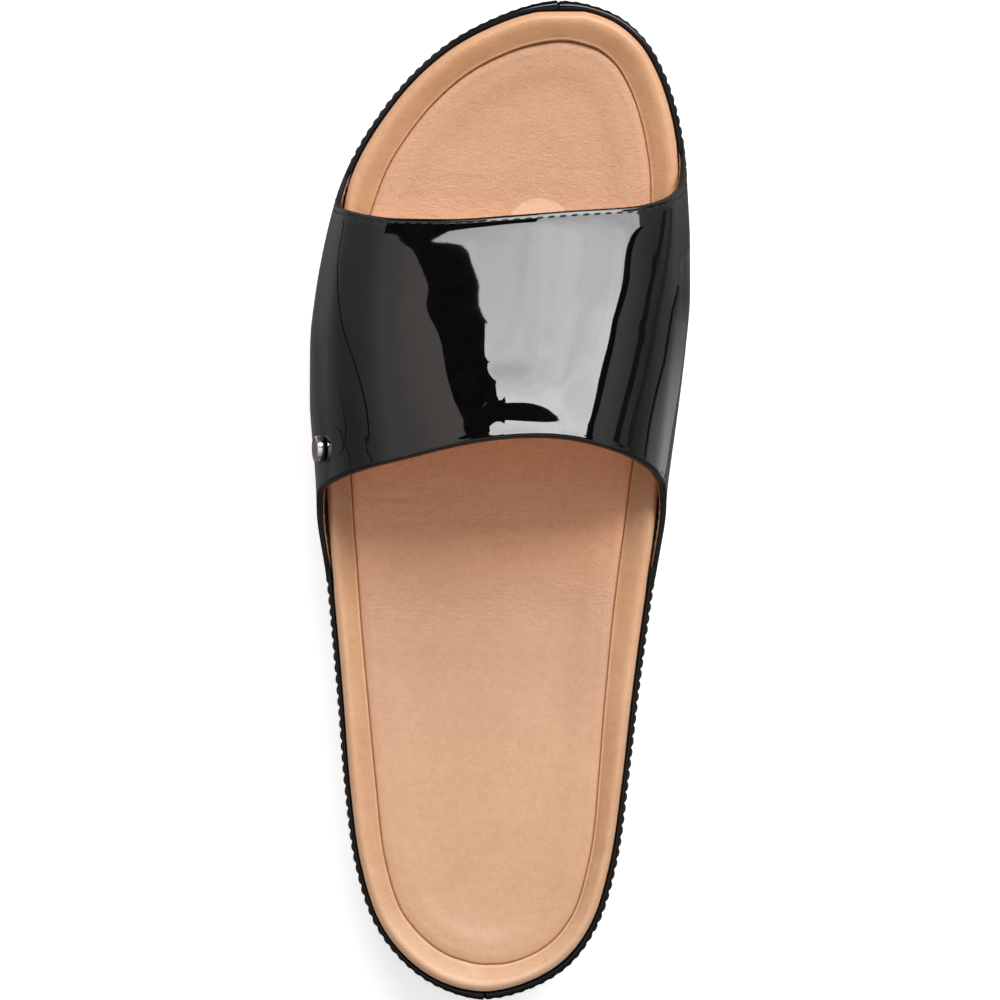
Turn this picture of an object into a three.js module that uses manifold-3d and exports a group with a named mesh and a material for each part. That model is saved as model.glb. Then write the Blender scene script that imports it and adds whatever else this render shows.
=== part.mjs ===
// Platform slide sandal, left foot. Millimetres, +Z up, +Y to the toe, +X to the inner (big-toe) side.
import * as THREE from "three";
import Module from "manifold-3d";
import { mergeVertices } from "three/addons/utils/BufferGeometryUtils.js";

const wasm = await Module();
wasm.setup();

// ---------------------------------------------------------------- sizes
const SOLE_LENGTH = 262.5;        // where the platform ends at the toe
const HEEL_END_X = -4.4;          // where the outline crosses its heel end
const HEEL_END_Y = 0.25;
const TOE_END_X = 16.0;
const RING_POINTS = 80;          // points round every lofted outline
const GAP = 0.3;                  // between pieces that meet

const OUTSOLE_THICK = 3.6;
const TREAD_DEPTH = 1.7;
const TREAD_PITCH = 13.0;
const TREAD_WIDTH = 3.2;
const TREAD_BORDER = 7.0;
const FACE_INSET = 9.0;          // first inner ring of the faces that lie on one another
const FACE_SHARES = [0, 0.4, 0.8];

const WALL_INSET = 0.25;          // mean wall of the ribbed side, inside the rib tips
const WALL_UNDERCUT = 1.1;        // how far the wall leans in on its way down

const BAND_OUTER = 0.6;           // insets from the rib tips
const BAND_INNER = 1.65;
const BAND_HEIGHT = 5.6;
const BAND_ROWS = [               // cross-section, outside face first: inset, rise over the wall's top, share of the extra width
  { inset: BAND_OUTER, rise: GAP, wide: 0 }, { inset: BAND_OUTER, rise: BAND_HEIGHT - 0.7, wide: 0 }, { inset: 0.82, rise: BAND_HEIGHT, wide: 0.1 },
  { inset: 1.42, rise: BAND_HEIGHT, wide: 0.9 }, { inset: BAND_INNER, rise: BAND_HEIGHT - 0.6, wide: 1 }, { inset: BAND_INNER, rise: GAP, wide: 1 },
];
// where the bands' ends are cut along the strap's edges: y at the bottom and at the top of the cut
const HEEL_BAND = { points: 38, lateral: { low: 108.4, high: 114.0 }, medial: { low: 107.9, high: 113.4 } };
const TOE_BAND = { points: 24, lateral: { low: 221.9, high: 217.4 }, medial: { low: 226.9, high: 222.6 } };

const RIM_WALL = 2.4;             // footbed wall
const RIM_POCKET = 3.05;          // and where the strap stands inside the sole's edge
const POCKET = { from: 150, full: 175, lateral: 217.0, medial: 219.0 };
const ROLL_END = { lateral: 221.0, medial: 226.0 };
const RIM_ROLL = { open: 0.55, strap: 0.3, back: 104, ramp: 8 };   // how far the rim rolls out over its wall

const STRAP_THICK = 2.0;
const STRAP_FOOT_THICK = 1.6;     // thinned down at its feet
const STRAP_INSET = 0.15;         // strap's outer face at its foot
const STRAP_POCKET_INSET = 0.75;
const STRAP_LEAN = { share: 0.55, rise: 4.0 };   // on its way from the foot to its widest
const STRAP_FOOT_STEPS = [0, 0.014, 0.028, 0.042, 0.06, 0.083];   // closer rows near the foot
const STRAP_MIDDLE_STEPS = 30;
const STRAP_STEPS_V = 12;

const RIVET = { y: 144.2, tiltDeg: 15.5, headRadius: 3.45, headHeight: 1.9, postRadius: 1.2, capRadius: 2.3, capHeight: 0.6 };

// outline of the rib tips: x on the outer and on the inner side of the foot
const OUTLINE = [
  { y: 3.1, lateral: -15.6, medial: 8.3 }, { y: 9.5, lateral: -25, medial: 18.6 },
  { y: 20, lateral: -33, medial: 25.9 }, { y: 36, lateral: -38.2, medial: 30.8 },
  { y: 56, lateral: -40.9, medial: 33.7 }, { y: 78, lateral: -42.7, medial: 36.3 },
  { y: 100, lateral: -44.7, medial: 39.3 }, { y: 122, lateral: -46.8, medial: 42.6 },
  { y: 144, lateral: -47.9, medial: 45 }, { y: 166, lateral: -48.35, medial: 47.4 },
  { y: 186, lateral: -47.35, medial: 49 }, { y: 204, lateral: -44.75, medial: 49.4 },
  { y: 220, lateral: -39.7, medial: 49.2 }, { y: 233, lateral: -31.9, medial: 47.05 },
  { y: 244, lateral: -22.65, medial: 43.3 }, { y: 252, lateral: -13.05, medial: 38.7 },
  { y: 258.2, lateral: -1.2, medial: 31.8 }, { y: 261.6, lateral: 8.8, medial: 23.1 },
];

// heights along the shoe: underside of the tread and top of the platform wall
const HEIGHTS = [
  { y: 0, under: 1.6, top: 34.0 }, { y: 14, under: 0, top: 33.7 }, { y: 36, under: 0, top: 33.1 },
  { y: 60, under: 0, top: 32.0 }, { y: 82, under: 0, top: 30.4 }, { y: 104, under: 1.0, top: 28.6 },
  { y: 126, under: 1.0, top: 26.8 }, { y: 146, under: 0, top: 25.2 }, { y: 170, under: 0, top: 23.9 },
  { y: 194, under: 0, top: 23.4 }, { y: 215, under: 1.3, top: 23.6 }, { y: 235, under: 3.7, top: 24.6 },
  { y: 250, under: 6.2, top: 26.2 }, { y: SOLE_LENGTH, under: 8.8, top: 28.0 },
];

// inset of the insole seam from the rib tips, on both sides
const SEAM = [
  { y: 0.25, lateral: 9.7, medial: 9.7 }, { y: 1.5, lateral: 9.6, medial: 9 }, { y: 4, lateral: 9.2, medial: 8.6 },
  { y: 9.5, lateral: 8.8, medial: 8.2 }, { y: 15, lateral: 8.5, medial: 7.8 }, { y: 22, lateral: 8.2, medial: 7.5 },
  { y: 34, lateral: 8.2, medial: 7.55 }, { y: 45, lateral: 8.4, medial: 7.65 }, { y: 57.5, lateral: 8.5, medial: 8.15 },
  { y: 70, lateral: 8.3, medial: 8.6 }, { y: 81, lateral: 8.15, medial: 8.95 }, { y: 93, lateral: 8.1, medial: 9.45 },
  { y: 105, lateral: 8.3, medial: 9.85 }, { y: 117, lateral: 8.65, medial: 10.15 }, { y: 128, lateral: 8.65, medial: 10.1 },
  { y: 137, lateral: 8.5, medial: 9.8 }, { y: 150, lateral: 8.7, medial: 9.6 }, { y: 180, lateral: 9.3, medial: 9.6 },
  { y: 205, lateral: 9.7, medial: 9.7 }, { y: 216, lateral: 9.95, medial: 9.85 }, { y: 228, lateral: 9.75, medial: 10.15 },
  { y: 240, lateral: 9.8, medial: 10.3 }, { y: 250, lateral: 10, medial: 10.55 }, { y: 258.2, lateral: 10.3, medial: 10.8 },
  { y: 262.5, lateral: 11, medial: 11 },
];

// how much further in than RIM_WALL the footbed's wall stands; the bands are that much wider
const RIM_MORE = [
  { y: 0.25, lateral: 1.1, medial: 1.1 }, { y: 3, lateral: 0.7, medial: 1 }, { y: 10, lateral: 0.4, medial: 0.85 },
  { y: 20, lateral: 0.25, medial: 0.55 }, { y: 36, lateral: 0.2, medial: 0.45 }, { y: 60, lateral: 0.1, medial: 0.3 },
  { y: 104, lateral: 0.15, medial: 0.4 }, { y: 150, lateral: 0.1, medial: 0.3 }, { y: 210, lateral: 0.1, medial: 0.3 },
  { y: 222, lateral: 0.5, medial: 0.6 }, { y: 240, lateral: 0.5, medial: 0.6 }, { y: 250, lateral: 0.75, medial: 0.75 },
  { y: 258.2, lateral: 0.95, medial: 1.05 }, { y: 261.5, lateral: 1.25, medial: 1.15 }, { y: 262.5, lateral: 1.9, medial: 1.9 },
];

// the rolled rim: share of the way from the crest to the seam, and rise over the wall's top
const RIM_CREST = { heel: 1.0, toe: 1.4, rise: 9.9 };
const RIM_SLOPE = [
  { share: 0.22, rise: 9.55 }, { share: 0.45, rise: 8.75 }, { share: 0.72, rise: 7.65 }, { share: 0.94, rise: 6.75 }, { share: 1.0, rise: 6.2 },
];
const RECESS = { edge: 3.7, centre: 3.0 };
// the insole panel's top: inset from its own edge, rise over the wall's top
const INSOLE_TOP = [
  { inset: 0.0, rise: 5.5 }, { inset: 0.35, rise: 6.35 }, { inset: 1.2, rise: 6.95 }, { inset: 3.2, rise: 6.9 },
];
const INSOLE_CENTRE = 5.6;
const SPINE = { back: 38, front: 214 };   // the line the inner rings shrink to
const SHRINK = [0.4, 0.85];

// the strap's cross-sections: widest points and their heights, crest, all from the ground
const STRAP_SECTIONS = [
  { y: 104, lateral: -44.9, medial: 40.25, crestX: 4.5, crestZ: 98.0 },
  { y: 112, lateral: -45.8, medial: 41.25, crestX: 4.8, crestZ: 96.3 },
  { y: 118.5, lateral: -46.7, medial: 42.15, crestX: 5.1, crestZ: 94.8 },
  { y: 126.5, lateral: -47.8, medial: 43.25, crestX: 5.4, crestZ: 93.0 },
  { y: 133, lateral: -48.05, medial: 43.6, crestX: 5.65, crestZ: 91.3 },
  { y: 142, lateral: -48.65, medial: 44.8, crestX: 6, crestZ: 89.0 },
  { y: 157, lateral: -49.75, medial: 46.95, crestX: 6.6, crestZ: 84.7 },
  { y: 172, lateral: -49.7, medial: 48.8, crestX: 7.2, crestZ: 80.0 },
  { y: 185, lateral: -48.4, medial: 49.85, crestX: 7.8, crestZ: 75.8 },
  { y: 198, lateral: -46.1, medial: 49.85, crestX: 8.4, crestZ: 71.6 },
  { y: 211, lateral: -42.85, medial: 49.3, crestX: 9.2, crestZ: 67.4 },
  { y: 224, lateral: -38, medial: 48.25, crestX: 10, crestZ: 63.4 },
  { y: 236, lateral: -30.6, medial: 46, crestX: 11, crestZ: 60.0 },
];
const ARCH = [  // share of the width in from the widest point, share of the height
  { side: "lateral", inset: 0, height: 0.17 }, { side: "lateral", inset: 0.018, height: 0.42 },
  { side: "lateral", inset: 0.063, height: 0.64 }, { side: "lateral", inset: 0.157, height: 0.835 },
  { side: "lateral", inset: 0.315, height: 0.945 }, { side: "medial", inset: 0.27, height: 0.955 },
  { side: "medial", inset: 0.135, height: 0.85 }, { side: "medial", inset: 0.055, height: 0.65 },
  { side: "medial", inset: 0.022, height: 0.43 }, { side: "medial", inset: 0, height: 0.19 },
];
// where the strap's two free edges run, by share of the way round from the outer to the inner side
const STRAP_EDGES = [
  { u: 0, back: 109.0, front: 221.0 }, { u: 0.018, back: 112.3, front: 218.2 }, { u: 0.035, back: 116.0, front: 215.3 },
  { u: 0.05, back: 120.6, front: 212.0 }, { u: 0.065, back: 125.6, front: 209.9 }, { u: 0.08, back: 129.6, front: 208.7 },
  { u: 0.1, back: 132.2, front: 207.9 }, { u: 0.125, back: 133.7, front: 207.3 }, { u: 0.16, back: 134.7, front: 206.7 },
  { u: 0.2, back: 135.6, front: 205.7 }, { u: 0.25, back: 137.2, front: 204.5 }, { u: 0.3, back: 139.0, front: 203.6 },
  { u: 0.4, back: 143.0, front: 203.2 }, { u: 0.5, back: 146.4, front: 204.1 }, { u: 0.6, back: 146.6, front: 205.3 },
  { u: 0.7, back: 142.0, front: 206.4 }, { u: 0.75, back: 139.4, front: 207.7 }, { u: 0.8, back: 137.8, front: 209.3 },
  { u: 0.84, back: 136.6, front: 210.6 }, { u: 0.87, back: 135.7, front: 211.6 }, { u: 0.9, back: 134.0, front: 213.0 },
  { u: 0.92, back: 131.6, front: 214.9 }, { u: 0.94, back: 127.4, front: 217.6 }, { u: 0.96, back: 121.4, front: 220.3 },
  { u: 0.98, back: 114.6, front: 223.0 }, { u: 1, back: 108.5, front: 226.0 },
];

const BLACK_RUBBER = { color: 0x141416, roughness: 0.6, metalness: 0 };
const BLACK_PATENT = { color: 0x0c0c0e, roughness: 0.15, metalness: 0 };
const TAN = { color: 0xd8a988, roughness: 0.6, metalness: 0 };
const STEEL = { color: 0x9a9296, roughness: 0.35, metalness: 1 };

// ---------------------------------------------------------------- helpers
function column(rows, key, at = "y") {
  const x = rows.map((r) => r[at]), v = rows.map((r) => r[key]), slope = [], step = [];
  for (let i = 0; i + 1 < x.length; i++) { step.push(x[i + 1] - x[i]); slope.push((v[i + 1] - v[i]) / step[i]); }
  const m = v.map((_, i) => {
    if (i === 0) return slope[0];
    if (i === v.length - 1) return slope[i - 1];
    return slope[i - 1] * slope[i] <= 0 ? 0 : (2 * slope[i - 1] * slope[i]) / (slope[i - 1] + slope[i]);
  });
  return (q) => {
    const p = Math.min(Math.max(q, x[0]), x[x.length - 1]);
    let i = 0;
    while (i < x.length - 2 && p > x[i + 1]) i++;
    const t = (p - x[i]) / step[i], t2 = t * t, t3 = t2 * t;
    return (2 * t3 - 3 * t2 + 1) * v[i] + (t3 - 2 * t2 + t) * step[i] * m[i] + (3 * t2 - 2 * t3) * v[i + 1] + (t3 - t2) * step[i] * m[i + 1];
  };
}
const smooth = (a, b, x) => { const t = Math.min(Math.max((x - a) / (b - a), 0), 1); return t * t * (3 - 2 * t); };

const under = column(HEIGHTS, "under"), wallTop = column(HEIGHTS, "top");
const seamInset = { lateral: column(SEAM, "lateral"), medial: column(SEAM, "medial") };
const rimMore = { lateral: column(RIM_MORE, "lateral"), medial: column(RIM_MORE, "medial") };

function outlineCurve() {
  const right = OUTLINE.map((r) => new THREE.Vector3(r.medial, r.y, 0));
  const left = OUTLINE.map((r) => new THREE.Vector3(r.lateral, r.y, 0)).reverse();
  return new THREE.CatmullRomCurve3([new THREE.Vector3(HEEL_END_X, HEEL_END_Y, 0), ...right, new THREE.Vector3(TOE_END_X, SOLE_LENGTH, 0), ...left], true, "centripetal");
}

function outlinePoints(count) {
  const curve = outlineCurve();
  curve.arcLengthDivisions = 4000;
  const list = [];
  for (let i = 0; i < count; i++) {
    const p = curve.getPointAt(i / count), t = curve.getTangentAt(i / count);
    list.push({ x: p.x, y: p.y, nx: -t.y, ny: t.x, side: t.y >= 0 ? "medial" : "lateral" });
  }
  return list;
}
const RING = outlinePoints(RING_POINTS);

function middleX(y) {
  const side = { lateral: column(OUTLINE, "lateral"), medial: column(OUTLINE, "medial") };
  return (side.lateral(y) + side.medial(y)) / 2;
}

function inset(p, d) { return { x: p.x + p.nx * d, y: p.y + p.ny * d }; }

function towardSpine(q, share) {
  const y = Math.min(Math.max(q.y, SPINE.back), SPINE.front), x = middleX(y);
  return { x: q.x + (x - q.x) * share, y: q.y + (y - q.y) * share };
}

// how far the strap stands inside the sole's edge at a point of the outline, 0 to 1
function pocket(p) {
  return smooth(POCKET.from, POCKET.full, p.y) * (1 - smooth(POCKET[p.side] - 10, POCKET[p.side], p.y));
}
const strapInset = (p) => STRAP_INSET + (STRAP_POCKET_INSET - STRAP_INSET) * pocket(p);

function meshGeometry(positions, triangles) {
  const g = new THREE.BufferGeometry();
  g.setAttribute("position", new THREE.Float32BufferAttribute(positions, 3));
  g.setIndex(triangles);
  return g;
}

// rings run anticlockwise seen from above, first ring at the bottom; both ends are capped
function ringSolid(rings) {
  const n = rings[0].length, positions = [], triangles = [];
  rings.forEach((ring) => ring.forEach((p) => positions.push(p.x, p.y, p.z)));
  for (let k = 0; k + 1 < rings.length; k++) {
    for (let i = 0; i < n; i++) {
      const a = k * n + i, b = k * n + (i + 1) % n, c = a + n, d = b + n;
      triangles.push(a, b, d, a, d, c);
    }
  }
  // each cap is zipped across from one side to the other, so that its triangles stay short along the shoe
  const cap = (k, up) => {
    const ring = rings[k], o = k * n;
    let low = 0;
    ring.forEach((p, i) => { if (p.y < ring[low].y) low = i; });
    let a = (low + 1) % n, b = (low + n - 1) % n;
    const put = (p, q, r) => triangles.push(...(up ? [o + p, o + q, o + r] : [o + p, o + r, o + q]));
    put(low, a, b);
    while ((a + 1) % n !== b) {
      const nextA = (a + 1) % n, nextB = (b + n - 1) % n;
      if (ring[nextA].y <= ring[nextB].y) { put(a, nextA, b); a = nextA; } else { put(a, nextB, b); b = nextB; }
    }
  };
  cap(0, false);
  cap(rings.length - 1, true);
  return meshGeometry(positions, triangles);
}

// an open band: its rows of points run along the outline and go round its cross-section, outside face first
function bandSolid(rows) {
  const n = rows[0].length, k = rows.length, positions = [], triangles = [];
  rows.forEach((row) => row.forEach((p) => positions.push(p.x, p.y, p.z)));
  for (let r = 0; r < k; r++) {
    for (let i = 0; i + 1 < n; i++) {
      const a = r * n + i, b = a + 1, c = ((r + 1) % k) * n + i, d = c + 1;
      triangles.push(a, b, d, a, d, c);
    }
  }
  for (let r = 1; r + 1 < k; r++) triangles.push(0, r * n, (r + 1) * n, n - 1, (r + 1) * n + n - 1, r * n + n - 1);
  return meshGeometry(positions, triangles);
}

const lift = (q, z) => ({ x: q.x, y: q.y, z });
const face = (z) => FACE_SHARES.map((share) => RING.map((p) => { const q = towardSpine(inset(p, FACE_INSET), share); return lift(q, z(q.y)); }));

function toManifold(geometry) {
  const g = geometry.clone();
  g.deleteAttribute("normal"); g.deleteAttribute("uv");
  const merged = mergeVertices(g, 1e-5);
  return new wasm.Manifold(new wasm.Mesh({ numProp: 3, vertProperties: Float32Array.from(merged.attributes.position.array), triVerts: Uint32Array.from(merged.index.array) }));
}
function fromManifold(solid) {
  const m = solid.getMesh(), positions = [];
  for (let i = 0; i < m.numVert; i++) positions.push(m.vertProperties[i * m.numProp], m.vertProperties[i * m.numProp + 1], m.vertProperties[i * m.numProp + 2]);
  return meshGeometry(positions, Array.from(m.triVerts));
}
function boxAt(cx, cy, cz, w, l, h, turnDeg = 0) {
  const g = new THREE.BoxGeometry(w, l, h);
  g.rotateZ(THREE.MathUtils.degToRad(turnDeg));
  g.translate(cx, cy, cz);
  return toManifold(g);
}

// ---------------------------------------------------------------- sole pieces
function outsole() {
  const ring = (d, z) => RING.map((p) => lift(inset(p, d), z(p.y)));
  const edge = WALL_INSET + WALL_UNDERCUT;
  const top = (y) => under(y) + OUTSOLE_THICK;
  const body = ringSolid([
    ...face(under).reverse(), ring(edge + 1.2, under), ring(edge, (y) => under(y) + 1.0), ring(edge, top), ...face(top),
  ]);
  let solid = toManifold(body);
  const field = toManifold(ringSolid([RING.map((p) => lift(inset(p, TREAD_BORDER), -5)), RING.map((p) => lift(inset(p, TREAD_BORDER), 30))]));
  const pads = [{ from: 17, to: 92 }, { from: 134, to: 250 }];
  for (const pad of pads) {
    for (let y = pad.from; y <= pad.to; y += TREAD_PITCH) {
      const depth = under(y) + TREAD_DEPTH, x = middleX(y);
      for (const turn of [14, -14]) {
        const half = boxAt(x + Math.sign(turn) * 24, y + 6, depth - 5, 52, TREAD_WIDTH, 10, turn);
        solid = solid.subtract(half.intersect(field));
      }
    }
  }
  return fromManifold(solid);
}

function platform() {
  const bottom = (y) => under(y) + OUTSOLE_THICK + GAP;
  const ring = (d, z) => RING.map((p) => lift(inset(p, d), z(p.y)));
  const between = (share) => (y) => bottom(y) + (wallTop(y) - bottom(y)) * share;
  return ringSolid([
    ...face(bottom).reverse(), ring(WALL_INSET + WALL_UNDERCUT, bottom), ring(WALL_INSET + WALL_UNDERCUT * 0.45, between(0.35)),
    ring(WALL_INSET, between(0.8)), ring(WALL_INSET, (y) => wallTop(y) - 0.7), ring(WALL_INSET + 0.5, wallTop),
    ...face(wallTop),
  ]);
}

// the way round the outline, 0 to 1 anticlockwise from the heel's end, at which a side passes a given y
const OUTLINE_TABLE = outlinePoints(2400).map((p, i) => ({ ...p, way: i / 2400 }));
function wayAt(side, y) {
  const list = OUTLINE_TABLE.filter((p) => p.side === side).sort((a, b) => a.y - b.y);
  let i = 0;
  while (i < list.length - 2 && list[i + 1].y < y) i++;
  return list[i].way + (list[i + 1].way - list[i].way) * (y - list[i].y) / (list[i + 1].y - list[i].y);
}

function wrapBand(band, from, to) {
  const curve = outlineCurve();
  curve.arcLengthDivisions = 4000;
  return bandSolid(BAND_ROWS.map((row) => {
    const t = (row.rise - GAP) / (BAND_HEIGHT - GAP), at = (side) => wayAt(side, band[side].low + (band[side].high - band[side].low) * t);
    const a = at(from), b = at(to), span = b > a ? b - a : b - a + 1, list = [];
    for (let i = 0; i < band.points; i++) {
      const s = i / (band.points - 1), way = (a + span * (s + 0.035 * Math.sin(2 * Math.PI * s) * -1)) % 1;
      const p = curve.getPointAt(way), g = curve.getTangentAt(way);
      const d = row.inset + row.wide * rimMore[g.y >= 0 ? "medial" : "lateral"](p.y);
      list.push({ x: p.x - g.y * d, y: p.y + g.x * d, z: wallTop(p.y) + row.rise });
    }
    return list;
  }));
}

function footbed() {
  const wall = (p) => RIM_WALL + rimMore[p.side](p.y) + (RIM_POCKET - RIM_WALL) * pocket(p);
  const ring = (d, rise) => RING.map((p) => { const q = inset(p, d(p)); return lift(q, wallTop(p.y) + rise(p)); });
  const seam = (p) => seamInset[p.side](p.y);
  const crest = (p) => wall(p) + RIM_CREST.heel + (RIM_CREST.toe - RIM_CREST.heel) * smooth(100, 220, p.y);
  const inStrap = (p) => smooth(RIM_ROLL.back, RIM_ROLL.back + RIM_ROLL.ramp, p.y) * (1 - smooth(ROLL_END[p.side] - RIM_ROLL.ramp, ROLL_END[p.side], p.y));
  const roll = (p) => RIM_ROLL.open + (RIM_ROLL.strap - RIM_ROLL.open) * inStrap(p);
  const recess = (p) => seam(p) + 0.1;
  const floor = (share) => RING.map((p) => {
    const q = towardSpine(inset(p, recess(p)), share);
    return lift(q, wallTop(q.y) + RECESS.edge + (RECESS.centre - RECESS.edge) * share);
  });
  return ringSolid([
    ...face((y) => wallTop(y) + GAP).reverse(), ring(wall, () => GAP), ring(wall, () => 5.7), ring((p) => wall(p) - roll(p), () => 7.5), ring((p) => wall(p) + 0.25, () => 9.2), ring(crest, () => RIM_CREST.rise),
    ...RIM_SLOPE.map((r) => ring((p) => crest(p) + (seam(p) - crest(p)) * r.share, () => r.rise)),
    floor(0), floor(0.4), floor(0.8),
  ]);
}

function insole() {
  const edge = (p) => seamInset[p.side](p.y) + 0.1 + GAP;
  const shrink = (rise, share, d = 0) => RING.map((p) => { const q = towardSpine(inset(p, edge(p) + d), share); return lift(q, wallTop(q.y) + rise); });
  const foot = (share) => RECESS.edge + (RECESS.centre - RECESS.edge) * share + GAP;
  const last = INSOLE_TOP[INSOLE_TOP.length - 1];
  return ringSolid([
    shrink(foot(0.9), 0.9), shrink(foot(0.5), 0.5), shrink(foot(0), 0),
    ...INSOLE_TOP.map((r) => shrink(r.rise, 0, r.inset)),
    ...SHRINK.map((s) => shrink(last.rise + (INSOLE_CENTRE - last.rise) * Math.min(1, s * 1.25), s, last.inset)),
  ]);
}

// ---------------------------------------------------------------- upper
const sectionOf = Object.fromEntries(["lateral", "medial", "crestX", "crestZ"].map((k) => [k, column(STRAP_SECTIONS, k)]));
const edgeOf = { back: column(STRAP_EDGES, "back", "u"), front: column(STRAP_EDGES, "front", "u") };
const INSET_CURVE = outlinePoints(720).map((p) => ({ ...inset(p, strapInset(p)), side: p.side }));

function footX(side, y) {
  const list = INSET_CURVE.filter((p) => p.side === side).sort((a, b) => a.y - b.y);
  let i = 0;
  while (i < list.length - 2 && list[i + 1].y < y) i++;
  const a = list[i], b = list[i + 1], t = Math.min(Math.max((y - a.y) / (b.y - a.y), 0), 1);
  return a.x + (b.x - a.x) * t;
}

const sectionCache = new Map();
function sectionCurve(y) {
  const key = y.toFixed(4);
  if (!sectionCache.has(key)) {
    const z0 = wallTop(y) + GAP, s = { lateral: sectionOf.lateral(y), medial: sectionOf.medial(y), crestX: sectionOf.crestX(y), crestZ: sectionOf.crestZ(y) };
    const width = s.medial - s.lateral, height = s.crestZ - z0;
    const foot = { lateral: footX("lateral", y), medial: footX("medial", y) };
    const point = (r) => new THREE.Vector3(r.side === "lateral" ? s.lateral + width * r.inset : s.medial - width * r.inset, y, z0 + height * r.height);
    const lean = (side) => new THREE.Vector3(foot[side] + (s[side] - foot[side]) * STRAP_LEAN.share, y, z0 + STRAP_LEAN.rise);
    const points = [
      new THREE.Vector3(foot.lateral, y, z0), lean("lateral"),
      ...ARCH.filter((r) => r.side === "lateral").map(point), new THREE.Vector3(s.crestX, y, s.crestZ), ...ARCH.filter((r) => r.side === "medial").map(point),
      lean("medial"), new THREE.Vector3(foot.medial, y, z0),
    ];
    const curve = new THREE.CatmullRomCurve3(points, false, "centripetal");
    curve.arcLengthDivisions = 160;
    sectionCache.set(key, curve);
  }
  return sectionCache.get(key);
}
const strapAt = (u, y) => sectionCurve(y).getPointAt(Math.min(Math.max(u, 0), 1));
function strapNormal(u, y) {
  const e = 0.004, across = strapAt(u + e, y).sub(strapAt(u - e, y)), along = strapAt(u, y + 0.4).sub(strapAt(u, y - 0.4));
  return across.cross(along).normalize();   // outward
}

const strapThick = (u) => STRAP_FOOT_THICK + (STRAP_THICK - STRAP_FOOT_THICK) * smooth(0.03, 0.1, Math.min(u, 1 - u));

function strap() {
  const end = STRAP_FOOT_STEPS[STRAP_FOOT_STEPS.length - 1], rows = [...STRAP_FOOT_STEPS];
  for (let k = 1; k < STRAP_MIDDLE_STEPS; k++) rows.push(end + (1 - 2 * end) * (k / STRAP_MIDDLE_STEPS));
  rows.push(...STRAP_FOOT_STEPS.map((u) => 1 - u).reverse());
  const positions = [], triangles = [], nu = rows.length - 1, nv = STRAP_STEPS_V, w = nv + 1, layer = (nu + 1) * w;
  for (const share of [0, 1]) {
    for (let i = 0; i <= nu; i++) {
      const u = rows[i], back = edgeOf.back(u), front = edgeOf.front(u), depth = share * strapThick(u);
      for (let j = 0; j <= nv; j++) {
        const y = back + (front - back) * (j / nv), p = strapAt(u, y), n = strapNormal(u, y);
        if (i === 0 || i === nu) n.set(Math.sign(n.x), 0, 0);
        p.addScaledVector(n, -depth);
        positions.push(p.x, p.y, p.z);
      }
    }
  }
  const quad = (a, b, c, d) => triangles.push(a, c, b, a, d, c);
  for (let i = 0; i < nu; i++) {
    for (let j = 0; j < nv; j++) {
      const a = i * w + j, b = a + 1, c = a + w + 1, d = a + w;
      quad(a, b, c, d);
      quad(layer + a, layer + d, layer + c, layer + b);
    }
    const a = i * w, d = a + w, b = a + nv, c = d + nv;
    quad(a, d, layer + d, layer + a);
    quad(b, layer + b, layer + c, c);
  }
  for (let j = 0; j < nv; j++) {
    const a = j, b = nu * w + j;
    quad(a, layer + a, layer + a + 1, a + 1);
    quad(b, b + 1, layer + b + 1, layer + b);
  }
  return meshGeometry(positions, triangles);
}

function rivetPlace() {
  const want = Math.sin(THREE.MathUtils.degToRad(RIVET.tiltDeg));
  let u = 0.08;
  while (u < 0.5 && strapNormal(u, RIVET.y).z < want) u += 0.001;
  return { at: strapAt(u, RIVET.y), normal: strapNormal(u, RIVET.y) };
}

function onAxis(geometry, place) {
  geometry.applyQuaternion(new THREE.Quaternion().setFromUnitVectors(new THREE.Vector3(0, 1, 0), place.normal));
  geometry.translate(place.at.x, place.at.y, place.at.z);
  return geometry;
}

function rivet(place) {
  const r = RIVET, lo = -STRAP_THICK - GAP - 0.15, hi = GAP + 0.15;
  const profile = [
    [0, lo - r.capHeight], [r.capRadius - 0.2, lo - r.capHeight], [r.capRadius, lo - r.capHeight + 0.2], [r.capRadius, lo], [r.postRadius, lo], [r.postRadius, hi], [r.headRadius, hi],
    [r.headRadius, hi + r.headHeight - 0.35], [r.headRadius - 0.35, hi + r.headHeight], [r.headRadius - 0.9, hi + r.headHeight - 0.25], [0, hi + r.headHeight - 0.25],
  ].map(([x, y]) => new THREE.Vector2(x, y));
  const g = new THREE.LatheGeometry(profile, 24);
  g.deleteAttribute("normal"); g.deleteAttribute("uv");
  return onAxis(mergeVertices(g, 1e-4), place);
}

// ---------------------------------------------------------------- assembly
function cleaned(geometry) {
  const g = geometry.clone();
  g.deleteAttribute("normal"); g.deleteAttribute("uv");
  const m = mergeVertices(g, 1e-5), index = Array.from(m.index.array), keep = [];
  for (let i = 0; i < index.length; i += 3) {
    const [a, b, c] = [index[i], index[i + 1], index[i + 2]];
    if (a !== b && b !== c && c !== a) keep.push(a, b, c);
  }
  m.setIndex(keep);
  return m;
}

const place = rivetPlace();
const hole = toManifold(onAxis(new THREE.CylinderGeometry(RIVET.postRadius + GAP, RIVET.postRadius + GAP, STRAP_THICK * 3, 16), place));
const pieces = [
  ["outsole", outsole(), BLACK_RUBBER],
  ["platform", platform(), BLACK_RUBBER],
  ["heel_band", wrapBand(HEEL_BAND, "lateral", "medial"), BLACK_PATENT],
  ["toe_band", wrapBand(TOE_BAND, "medial", "lateral"), BLACK_PATENT],
  ["footbed", footbed(), TAN],
  ["insole", insole(), TAN],
  ["strap", fromManifold(toManifold(strap()).subtract(hole)), BLACK_PATENT],
  ["rivet", rivet(place), STEEL],
].map(([name, geometry, look]) => ({ name, geometry: cleaned(geometry), look }));

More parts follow.
